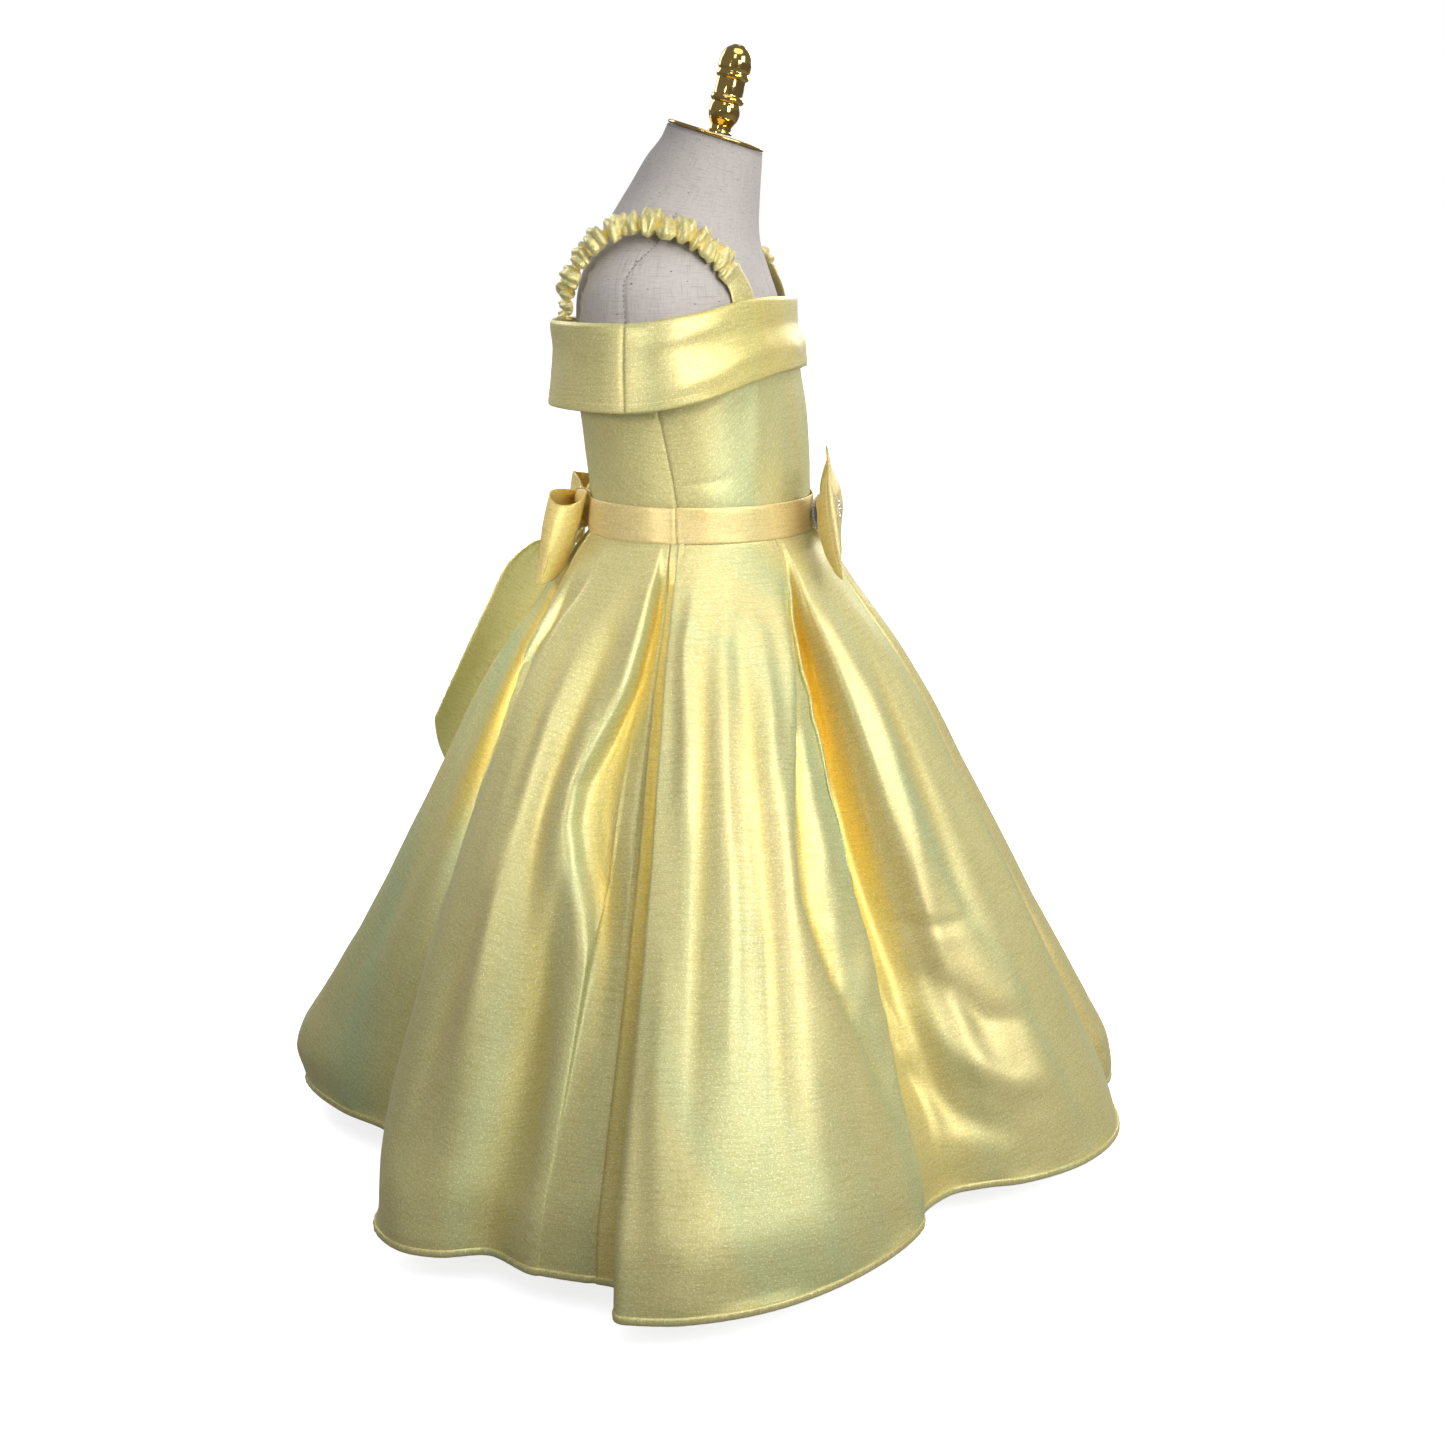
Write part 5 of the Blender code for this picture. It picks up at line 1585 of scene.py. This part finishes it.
class GOWN_OT_bow(bpy.types.Operator):
    """Builds the front bow: two stitched ribbon loops and the clasp with its cut stones"""

    bl_idname = "gown.bow"
    bl_label = "Front bow"

    def execute(self, context):
        sizes = context.scene.gown_sizes
        for side, forward, lift in BOW_WINGS[1:]:
            name = "bow_wing_right" if side < 0 else "bow_wing_left"
            us, qs = loop_turns(116, side > 0), np.linspace(-1, 1, 47)
            grid = run_on(wing_grid(side, forward, lift, us, qs))
            inner = grid[:, 1:-1]
            sewn_on = inner + slopes(grid)[:, 1:-1] * STITCH_LIFT
            # Painted shade: the wings turn fold gold toward the bow's gathered middle by the clasp
            fold = 0.7 * (1 - smooth(0.0, 0.35, np.abs(inner[..., 0]) / BOW_OUT))
            o = wall(name, grid, WING_WALL, gaps=(False, False), fold=fold)
            lines = []
            for q in (-0.93, -0.87, 0.87, 0.93):
                j = int(np.argmin(np.abs(qs - q)))
                lines.append(sewn_on[j, 6:-6])
            for turn in (-0.26, 0.26):
                k = int(np.argmin(np.abs(us[1:-1] - (math.pi / 2 + turn))))
                lines.append(sewn_on[3:-3, k])
            sewn = stitches(name + "_stitches", lines, pitch=0.0018, length=0.0019, thick=0.00060)
            finish_piece(o, material("ribbon"), "ribbon", name)
        self.clasp(sizes)
        return {"FINISHED"}

    def clasp(self, sizes):
        """A band round the bow's middle, rounded at its edges, with rows of stones."""
        centre = np.array((0, BOW_Y, BOW_Z))
        bevel, seat, sides = 0.0006, 0.0003, 72
        face = tuple(v - seat for v in CLASP_OUTER)
        edge = tuple(v - 0.0008 for v in CLASP_OUTER)
        profile = (
            (-CLASP_HALF, CLASP_INNER),
            (-CLASP_HALF, edge),
            (-CLASP_HALF + bevel, face),
            (CLASP_HALF - bevel, face),
            (CLASP_HALF, edge),
            (CLASP_HALF, CLASP_INNER),
        )
        rings = []
        a = circle(sides)
        for x, (hy, hz) in profile:
            rings.append(np.stack((np.full(sides, x), hy * np.cos(a), hz * np.sin(a)), axis=1) + centre)
        points = np.concatenate(rings)
        faces = []
        count = len(profile)
        for j in range(count):
            for k in range(sides):
                m, q = (j + 1) % count, (k + 1) % sides
                faces.append((j * sides + k, j * sides + q, m * sides + q, m * sides + k))
        o = new_mesh("bow_clasp", points, faces)
        right_way_out(o)
        o.data.materials.append(material("silver"))
        sharp_edges(o, 40)
        finish_piece(o, material("silver"), "silver", "bow_clasp")
        self.stones(Vector(centre), sizes.stone_size, seat)

    def stones(self, centre, size, seat):
        """Rows of cut stones round the clasp's face, and one row round each of its ends."""
        pitch = size * 1.06
        across = max(3, int(2 * CLASP_HALF / pitch))
        hy, hz = CLASP_OUTER
        a = np.linspace(0, 2 * math.pi, 2000)
        steps = np.hypot(np.diff(hy * np.cos(a)), np.diff(hz * np.sin(a)))
        run = np.concatenate(([0], np.cumsum(steps)))
        count = int(run[-1] / pitch)
        turn = np.interp(np.arange(count) * run[-1] / count, run, a)
        seats, ways = [], []
        for x in (np.arange(across) - (across - 1) / 2) * pitch:
            for b in turn:
                y, z = hy * math.cos(b), hz * math.sin(b)
                way = Vector((0, y / hy**2, z / hz**2)).normalized()
                seats.append(Vector((x, y, z)) + centre - way * (seat / 2))
                ways.append(way)
        my, mz = (np.array(CLASP_OUTER) + np.array(CLASP_INNER)) / 2 + 0.0009
        for end in (-1, 1):
            for b in turn:
                at = Vector((end * (CLASP_HALF - 0.0002), my * math.cos(b), mz * math.sin(b)))
                seats.append(at + centre)
                ways.append(Vector((end, 0, 0)))
        tiny = 0.0001
        points, faces = [], []
        for p, way in zip(seats, ways):
            side = Vector((1, 0, 0)) if abs(way.x) < 0.5 else Vector((0, 1, 0))
            up = way.cross(side)
            base = len(points)
            points += [p - side * tiny, p + side * tiny, p + up * tiny]
            faces.append((base, base + 1, base + 2))
        mesh = bpy.data.meshes.new("seats")
        mesh.from_pydata([tuple(p) for p in points], [], faces)
        attribute = mesh.attributes.new("way", "FLOAT_VECTOR", "FACE")
        flat = np.array([tuple(w) for w in ways], np.float32).ravel()
        attribute.data.foreach_set("vector", flat)
        source = bpy.data.objects.new("seats", mesh)
        bpy.context.scene.collection.objects.link(source)
        values = {"Size": size, "Seed": 4, "Stone": material("stone")}
        stones = through_tree("bow_stones", source, stone_tree(), values)
        finish_piece(stones, material("stone"), "silver")


def sharp_edges(o, degrees):
    """Marks the edges sharper than an angle, so that smooth shading stops at them."""
    mesh = o.data
    limit = math.cos(math.radians(degrees))
    normals = [p.normal.copy() for p in mesh.polygons]
    sides = {}
    for p in mesh.polygons:
        for key in p.edge_keys:
            sides.setdefault(key, []).append(p.index)
    sharp = [
        len(sides.get(e.key, ())) == 2 and normals[sides[e.key][0]].dot(normals[sides[e.key][1]]) < limit
        for e in mesh.edges
    ]
    mesh.edges.foreach_set("use_edge_sharp", sharp)


# Back sash
def loop_grid(side, out, droop, tall, thick, us, qs):
    a, q = np.asarray(us, float)[None, :], np.asarray(qs, float)[:, None]
    f = ribbon_reach(a)
    x = LOOP_IN + (out - LOOP_IN) * f
    deep = 0.0016 + thick * 0.46 * smooth(0.05, 0.9, f) * (1 - 0.25 * q)
    h = 0.022 + (tall - 0.022) * smooth(-0.2, 0.8, f)
    wave = 0.0016 * np.sin(q * 7 + side * 2 + np.cos(a) * 0.8) * (1 - smooth(0.1, 0.8, f))
    wave = wave + 0.0009 * np.sin(3.0 * q + 4 * f + side) * smooth(0.2, 0.8, f)
    y = SASH_Y + (0.003 + 0.018 * (side > 0)) * f + deep * np.cos(a) + 0.010 * f * q
    y = y + wave * np.sign(np.cos(a) + 1e-9)
    z = SASH_Z - q * h / 2 - droop * f**1.4
    return np.stack(np.broadcast_arrays(side * x, y, z), axis=-1)


def back_of_skirt(x, z):
    """How far back the skirt's outer face is at x and z, near the middle of the back."""
    t = (WAIST_Z - z) / (WAIST_Z - HEM_Z)
    if t <= 0:
        return WAIST_HALF_Y * math.sqrt(max(0.0, 1 - (x / WAIST_HALF_X) ** 2))
    first, last = row_at(148.5), row_at(225.0)
    line, _ = skirt_base(np.linspace(first, last, 121), [t])
    p = line[0]
    best = 0.0
    for a, b in zip(p, p[1:]):
        if min(a[0], b[0]) <= x <= max(a[0], b[0]):
            f = 0.0 if a[0] == b[0] else (x - a[0]) / (b[0] - a[0])
            best = max(best, a[1] + (b[1] - a[1]) * f)
    return best


def tail_grid(table, across, down, wave):
    """Outer face of a flat sash end, through its table's rows, kept clear of the skirt."""
    least = 0.086
    edges = [("k", "ax", "ay", "az", "bx", "by", "bz")]
    for k, (z_in, x_in, off_in, z_out, x_out, off_out) in enumerate(table[1:]):
        a = (x_in, max(back_of_skirt(x_in, z_in), least) + off_in, z_in)
        b = (x_out, max(back_of_skirt(x_out, z_out), least) + off_out, z_out)
        edges.append((k, *a, *b))
    k = np.linspace(0, len(edges) - 2, down)
    a = np.stack([follow(edges, k, c) for c in (1, 2, 3)], axis=1)
    b = np.stack([follow(edges, k, c) for c in (4, 5, 6)], axis=1)
    u = np.asarray(across, float)
    grid = a[:, None] + (b - a)[:, None] * u[None, :, None]
    below = np.clip(k, 0, 1)[:, None]
    grid[..., 1] += 0.004 * np.sin(math.pi * np.clip(u, 0, 1))[None, :] * below
    near = (1 - smooth(0.3, 3.0, k))[:, None]
    ripple = np.sin(u[None, :] * 15 + k[:, None] * 0.8)
    grid[..., 1] += wave * 0.0016 * ripple * near * below
    coarse = grid[::6, ::6]
    behind = np.array([[back_of_skirt(x, z) for x, _, z in row] for row in coarse])
    dense = np.array([np.interp(u, u[::6], row) for row in behind])
    dense = np.array([np.interp(k, k[::6], dense[:, c]) for c in range(len(u))]).T
    grid[..., 1] = np.maximum(grid[..., 1], dense + SKIRT_OFF_FORM)
    return grid


class GOWN_OT_sash(bpy.types.Operator):
    """Builds the sash tied at the back: knot, two loops and two tails"""

    bl_idname = "gown.sash"
    bl_label = "Back sash"

    def execute(self, context):
        for side, out, droop, tall, thick in LOOPS[1:]:
            name = "sash_loop_right" if side < 0 else "sash_loop_left"
            us, qs = loop_turns(104, side < 0), np.linspace(-1, 1, 39)
            grid = run_on(loop_grid(side, out, droop, tall, thick, us, qs))
            # A gold tone over the whole loop, and painted shade deepening toward the knot
            fold = 0.35 + 0.55 * (1 - smooth(0.05, 0.6, np.abs(grid[:, 1:-1, 0]) / out))
            o = wall(name, grid, LOOP_WALL, gaps=(False, False), fold=fold)
            finish_piece(o, material("ribbon"), "ribbon", name)
        self.knot()
        for name, table, wave in (("sash_tail_right", TAIL_RIGHT, 1.0), ("sash_tail_left", TAIL_LEFT, -1.0)):
            u = np.linspace(0, 1, 43)
            if table[2][1] < table[2][4]:
                u = u[::-1]
            step = u[1] - u[0]
            across = np.concatenate(([u[0] - step], u, [u[-1] + step]))
            grid = tail_grid(table, across, 121, wave)
            o = wall(name, grid, TAIL_WALL, gaps=(False, False))
            sewn_on = grid[:, 1:-1] + slopes(grid)[:, 1:-1] * STITCH_LIFT
            sewn = stitches(name + "_stitches", [sewn_on[8:-3, 2], sewn_on[8:-3, -3]])
            finish_piece(o, material("sash"), "ribbon", name)
        return {"FINISHED"}

    def knot(self):
        """The wrapped knot: a rounded block with folds that turn round it."""
        sides, levels = 72, 48
        a = np.linspace(-math.pi / 2, math.pi / 2, levels + 2)[1:-1][:, None]
        b = circle(sides)[None, :]
        r = np.cos(a) ** 0.6
        folds = 1 + 0.055 * np.sin(5 * np.sin(a) * 2.2 + 1.4 * np.sin(b))
        folds = folds + 0.03 * np.sin(9 * np.sin(a) + 2 * b)
        x = 0.0082 * r * np.cos(b) * folds
        y = SASH_Y + 0.0100 * r * np.sin(b) * folds
        z = SASH_Z + 0.0150 * np.sin(a) * np.ones_like(b)
        points = np.stack((x, y, z), axis=-1).reshape(-1, 3)
        o = new_mesh("sash_knot", points, tube_faces(levels, sides))
        uv = np.stack(np.broadcast_arrays(b * 0.009, a * 0.012), axis=-1).reshape(-1, 2)
        # Painted shade: the knot turns fold gold in its sunken folds
        mark(o, uv, np.clip((1 - folds) * 8, 0, 1))
        right_way_out(o)
        finish_piece(o, material("ribbon"), "ribbon", "sash_knot")


# The form and its stand
# The form's seam over the shoulder and down the arm cap
FORM_SEAM = (
    ("z", "deg"),
    (0.505, 92.0),
    (0.560, 96.0),
    (0.640, 96.5),
    (0.655, 93.0),
    (0.668, 88.0),
    (0.690, 86.0),
)


class GOWN_OT_form(bpy.types.Operator):
    """Builds the linen form with its seams, the gold neck plate and the finial"""

    bl_idname = "gown.form"
    bl_label = "Dress form"

    def execute(self, context):
        self.torso()
        tilt = Matrix.Rotation(PLATE_TILT, 4, "X")
        neck = Vector((0, FORM[-1][1], FORM[-1][0]))
        edge, rim = [], PLATE_THICK / 2
        for k in range(9):
            a = -math.pi / 2 + math.pi * k / 8
            edge.append((PLATE_R - rim + rim * math.cos(a), rim * (1 + math.sin(a))))
        profile = [(0.0, 0.0), (PLATE_R * 0.5, 0.0), *edge, (PLATE_R * 0.5, PLATE_THICK), (0.0, PLATE_THICK)]
        place = Matrix.Translation(neck) @ tilt
        turned("neck_plate", profile, place @ Matrix.Translation((0, 0, GAP)), "gold", "gold", 128)
        table = [("h", "r")] + [(h + 1e-6 * k, r) for k, (r, h) in enumerate(FINIAL[1:])]
        levels = np.linspace(0, FINIAL[-1][1], 90)
        hs = np.unique(np.concatenate((levels, [row[1] for row in FINIAL[1:]])))
        rs = follow(table, hs, 1)
        scale = FINIAL_SCALE / 1000
        profile = [(0.0, 0.0)] + [(float(r) / 1000, float(h) * scale) for r, h in zip(rs, hs)]
        top = FINIAL_TOP * FINIAL_SCALE
        last_r, last_h = profile[-1]
        for k in range(1, 7):
            a = math.pi / 2 * k / 6
            profile.append((last_r * math.cos(a), last_h + (top - last_h) * math.sin(a)))
        profile[-1] = (0.0, top)
        seat = Vector((0, -FINIAL_FORWARD, PLATE_THICK + 2 * GAP + 0.0005))
        lean = Matrix.Rotation(FINIAL_TILT - PLATE_TILT, 4, "X")
        turned("finial", profile, place @ Matrix.Translation(seat) @ lean, "gold", "gold", 64)
        return {"FINISHED"}

    def torso(self):
        """The form itself, drawn in along its seams, with the stitches of its shoulder seams."""
        levels = 116
        z0 = np.linspace(FORM[1][0], FORM[-1][0], levels)[:, None]
        near_seams = [np.arange(a, b, 0.8) for a, b in ((85, 99), (261, 275), (178.4, 181.8))]
        places = np.concatenate((np.arange(0, 360, 3.0), *near_seams, (0.8, 1.6, 358.4, 359.2)))
        psi = np.radians(np.unique(places.round(3)))[None, :]
        sides = psi.shape[1]
        r, cy = section(FORM, z0, psi)
        grid = around(psi, r, cy, z0)
        grid[..., 2] += follow(FORM, z0, 6) * (grid[..., 1] - cy)
        closed = np.concatenate((grid[:, -1:], grid, grid[:, :1]), axis=1)
        n = np.cross(np.gradient(closed, axis=1), np.gradient(closed, axis=0))[:, 1:-1]
        n /= np.linalg.norm(n, axis=-1, keepdims=True)
        n = n if (n[:, 0, :2] * grid[:, 0, :2]).sum() > 0 else -n
        deg = np.degrees(psi) % 360
        seam = follow(FORM_SEAM, z0, 1)
        shown = smooth(0.500, 0.510, z0) * (1 - smooth(0.680, 0.694, z0))
        pull = np.zeros_like(r)
        for centre in (seam, 360 - seam):
            far = np.radians((deg - centre + 180) % 360 - 180) * r
            pull += bump(far, 0.0, 0.0016) * 0.0011 * shown
        for centre in (0.0, 180.0):
            far = np.radians((deg - centre + 180) % 360 - 180) * r
            pull += bump(far, 0.0, 0.0010) * 0.0004
        grid = grid - n * pull[..., None]
        *skin, low, high = tube_faces(levels, sides)
        o = new_mesh("form_torso", grid.reshape(-1, 3), [*skin, low[::-1], high[::-1]])
        u = np.broadcast_to(psi, r.shape) * CLOTH_ROUND
        uv = np.stack((u, np.broadcast_to(z0, r.shape)), axis=-1)
        mark(o, uv.reshape(-1, 2))
        self.close_uv(o)
        right_way_out(o)
        finish_piece(o, material("linen"), "linen", "form_torso")
        zs = np.linspace(0.545, 0.688, 90)
        lines = []
        for side in (1, -1):
            deg = follow(FORM_SEAM, zs, 1)
            a = np.radians(side * deg)
            r, cy = section(FORM, zs, a)
            p = around(a, r + STITCH_LIFT, cy, zs)
            p[:, 2] += follow(FORM, zs, 6) * (p[:, 1] - cy)
            lines.append(p)
        stitches("form_seam_stitches", lines, "linen_thread", "linen", 0.0034, 0.0020, 0.00090)

    def close_uv(self, o):
        """Keeps the last strip of faces from running back across the whole cloth."""
        data = o.data.uv_layers["cloth"].data
        half_round = 0.2
        for p in o.data.polygons:
            us = [data[i].uv[0] for i in p.loop_indices]
            if len(us) == 4 and max(us) - min(us) > half_round:
                for i in p.loop_indices:
                    if data[i].uv[0] < half_round:
                        data[i].uv[0] += 2 * math.pi * CLOTH_ROUND


def turned(name, profile, place, key, slot, sides=96):
    """A turned piece: its profile from the axis at the bottom to the axis at the top."""
    rings = [p for p in profile if p[0] > 0]
    a = circle(sides)
    points = []
    for r, h in rings:
        points.append(np.stack((r * np.cos(a), r * np.sin(a), np.full(sides, h)), axis=1))
    points = np.concatenate(points)
    faces = faces_of(grid_faces(len(rings), sides, closed=True))
    ends = ((0, profile[0][1], True), (len(rings) - 1, profile[-1][1], False))
    for j, h, bottom in ends:
        tip = len(points)
        points = np.concatenate((points, [[0, 0, h]]))
        for k in range(sides):
            q = (k + 1) % sides
            f = (j * sides + k, j * sides + q, tip)
            faces.append(f[::-1] if bottom else f)
    o = new_mesh(name, points, faces)
    o.data.transform(place)
    right_way_out(o)
    sharp_edges(o, 50)
    return finish_piece(o, material(key), slot, name)


class GOWN_OT_stand(bpy.types.Operator):
    """Builds the pole and the base that stand under the skirt"""

    bl_idname = "gown.stand"
    bl_label = "Stand"

    def execute(self, context):
        bottom, top = BASE_TALL + GAP, FORM[1][0] - GAP
        soft = 0.0006
        profile = [
            (0.0, bottom),
            (POLE_R - soft, bottom),
            (POLE_R, bottom + soft),
            (POLE_R, top - soft),
            (POLE_R - soft, top),
            (0.0, top),
        ]
        turned("stand_pole", profile, Matrix.Identity(4), "stand", "stand", 64)
        foot, rim = 0.001, 0.003
        profile = [(0.0, 0.0), (BASE_R - foot, 0.0), (BASE_R, foot)]
        for k in range(7):
            a = math.pi / 2 * k / 6
            out, up = BASE_R - rim + rim * math.cos(a), BASE_TALL - rim + rim * math.sin(a)
            profile.append((out, up))
        profile.append((0.0, BASE_TALL))
        turned("stand_base", profile, Matrix.Identity(4), "stand", "stand", 160)
        return {"FINISHED"}


class GOWN_OT_stage(bpy.types.Operator):
    """Sets up the pale floor, the soft studio light and the camera"""

    bl_idname = "gown.stage"
    bl_label = "Studio"

    def execute(self, context):
        scene = context.scene
        corners = [(FLOOR_HALF * x, FLOOR_HALF * y, 0) for x, y in ((-1, -1), (1, -1), (1, 1), (-1, 1))]
        floor = new_mesh("studio_floor", corners, [(0, 1, 2, 3)])
        floor.data.materials.append(material("floor"))
        world = bpy.data.worlds.new("studio")
        scene.world = world
        world.use_nodes = True
        tree = world.node_tree
        room = tree.nodes["Background"]
        room.inputs["Color"].default_value = ROOM_COLOUR
        room.inputs["Strength"].default_value = ROOM_POWER
        white = node(tree, "ShaderNodeBackground", {"Color": (1, 1, 1, 1), "Strength": 1.0})
        seen = node(tree, "ShaderNodeLightPath").outputs["Is Camera Ray"]
        both = node(tree, "ShaderNodeMixShader", {0: seen, 1: room.outputs[0], 2: white.outputs[0]})
        tree.links.new(both.outputs[0], tree.nodes["World Output"].inputs[0])
        scene.view_settings.view_transform = "Standard"
        for name, at, target, wide, power, spread, colour in LAMPS:
            data = bpy.data.lights.new(name, "AREA")
            data.shape = "SQUARE"
            data.size = wide
            data.energy = power
            data.spread = math.radians(spread)
            data.color = colour
            self.put(name, data, at, Vector(target) - Vector(at))
        data = bpy.data.lights.new("sky", "SUN")
        data.energy = SKY_POWER
        data.angle = SKY_ANGLE
        self.put("sky", data, (0, 0, 0), Vector(SKY_WAY))
        data = bpy.data.cameras.new("camera")
        data.sensor_width = CAMERA_SENSOR
        data.lens = CAMERA_LENS
        data.clip_start, data.clip_end = 0.05, 100
        level, fall = math.cos(CAMERA_PITCH), -math.sin(CAMERA_PITCH)
        look = Vector((CAMERA_WAY[0] * level, CAMERA_WAY[1] * level, fall))
        scene.camera = self.put("camera", data, CAMERA_AT, look)
        return {"FINISHED"}

    def put(self, name, data, at, look):
        """Adds a lamp or a camera at a place, with its -Z along look."""
        o = bpy.data.objects.new(name, data)
        o.location = at
        o.rotation_mode = "QUATERNION"
        o.rotation_quaternion = look.to_track_quat("-Z", "Y")
        bpy.context.scene.collection.objects.link(o)
        return o


def length_prop(name, description, value, low, high, digits=4):
    limits = {"min": low, "max": high, "precision": digits}
    return bpy.props.FloatProperty(
        name=name, description=description, default=value, unit="LENGTH", **limits
    )


class GownSizes(bpy.types.PropertyGroup):
    """Sizes that a user may change"""

    cloth_wall: length_prop("Cloth", "Thickness of the cloth", 0.0009, 0.0004, 0.003)
    cuff_wall: length_prop("Cuff cloth", "Thickness of the folded cuff", 0.0016, 0.0006, 0.004)
    hem_height: length_prop("Hem height", "Height of the rolled hem", 0.0055, 0.002, 0.02)
    hem_ripple: length_prop("Hem ripple", "Length of one ripple of the hem", 0.0085, 0.003, 0.03)
    stitch_pitch: length_prop("Stitch pitch", "From one stitch to the next", 0.0028, 0.001, 0.01)
    stitch_length: length_prop("Stitch length", "Length of one stitch", 0.0021, 0.0005, 0.01)
    stitch_thick: length_prop("Thread", "Thickness of the thread", 0.00045, 0.0002, 0.002, 5)
    strap_wall: bpy.props.FloatProperty(
        name="Strap cloth",
        description="Share of the strap's half depth that its cloth takes up",
        default=0.16,
        min=0.05,
        max=0.4,
        subtype="FACTOR",
    )
    stone_size: length_prop("Stones", "Width of a cut stone on the clasp", 0.0024, 0.001, 0.006)


def colour_prop(name, description, value):
    return bpy.props.FloatVectorProperty(
        name=name, description=description, default=value, subtype="COLOR", size=3, min=0, max=1
    )


class GownColours(bpy.types.PropertyGroup):
    """Colours that a user may change"""

    satin: colour_prop("Satin", "Organza over satin, in the open", (0.73, 0.66, 0.30))
    # Cool and warm are random shot bands and also painted sheen, taken by which way the cloth slopes round
    # the body
    cool: colour_prop("Cool side", "Where the shot cloth turns greener", (0.61, 0.66, 0.34))
    warm: colour_prop("Warm side", "Where the shot cloth turns warmer", (0.80, 0.665, 0.305))
    # Painted shade: the gold that shade and bounced light give the cloth deep in a fold
    fold: colour_prop("Fold", "The cloth deep in a fold", (0.98, 0.72, 0.13))
    ribbon: colour_prop("Ribbon", "The bow, the waistband and the sash's knot and loops", (0.88, 0.70, 0.32))
    # Painted light: made much paler than the satin so the ends read lit, as light through sheer cloth would
    # make them
    sash: colour_prop("Sash ends", "The thinner cloth of the hanging ends", (1.0, 0.98, 0.58))
    thread: colour_prop("Thread", "Sewing thread", (0.90, 0.76, 0.32))
    linen: colour_prop("Linen", "Cover of the form", (0.53, 0.485, 0.46))
    gold: colour_prop("Gold", "Neck plate and finial", (0.64, 0.44, 0.14))
    stand: colour_prop("Stand", "Pole and base", (0.72, 0.70, 0.67))
    floor: colour_prop("Floor", "Studio floor", (0.92, 0.92, 0.92))


OPERATORS = (
    GOWN_OT_form,
    GOWN_OT_stand,
    GOWN_OT_bodice,
    GOWN_OT_cuff,
    GOWN_OT_waistband,
    GOWN_OT_skirt,
    GOWN_OT_straps,
    GOWN_OT_bow,
    GOWN_OT_sash,
    GOWN_OT_stage,
)


class GOWN_PT_panel(bpy.types.Panel):
    """Sizes, colours and the steps of the gown"""

    bl_idname = "GOWN_PT_panel"
    bl_label = "Gown"
    bl_space_type = "VIEW_3D"
    bl_region_type = "UI"
    bl_category = "Gown"

    def draw(self, context):
        column = self.layout.column()
        for group in (context.scene.gown_sizes, context.scene.gown_colours):
            for key in group.bl_rna.properties.keys():
                if key not in ("rna_type", "name"):
                    column.prop(group, key)
        for kind in OPERATORS:
            column.operator(kind.bl_idname)


def register():
    for kind in (GownSizes, GownColours, *OPERATORS, GOWN_PT_panel):
        bpy.utils.register_class(kind)
    bpy.types.Scene.gown_sizes = bpy.props.PointerProperty(type=GownSizes)
    bpy.types.Scene.gown_colours = bpy.props.PointerProperty(type=GownColours)


def unregister():
    del bpy.types.Scene.gown_colours
    del bpy.types.Scene.gown_sizes
    for kind in reversed((GownSizes, GownColours, *OPERATORS, GOWN_PT_panel)):
        bpy.utils.unregister_class(kind)


def main():
    register()
    bpy.ops.gown.form()
    bpy.ops.gown.stand()
    bpy.ops.gown.bodice()
    bpy.ops.gown.cuff()
    bpy.ops.gown.waistband()
    bpy.ops.gown.skirt()
    bpy.ops.gown.straps()
    bpy.ops.gown.bow()
    bpy.ops.gown.sash()
    bpy.ops.gown.stage()


if __name__ == "__main__":
    main()
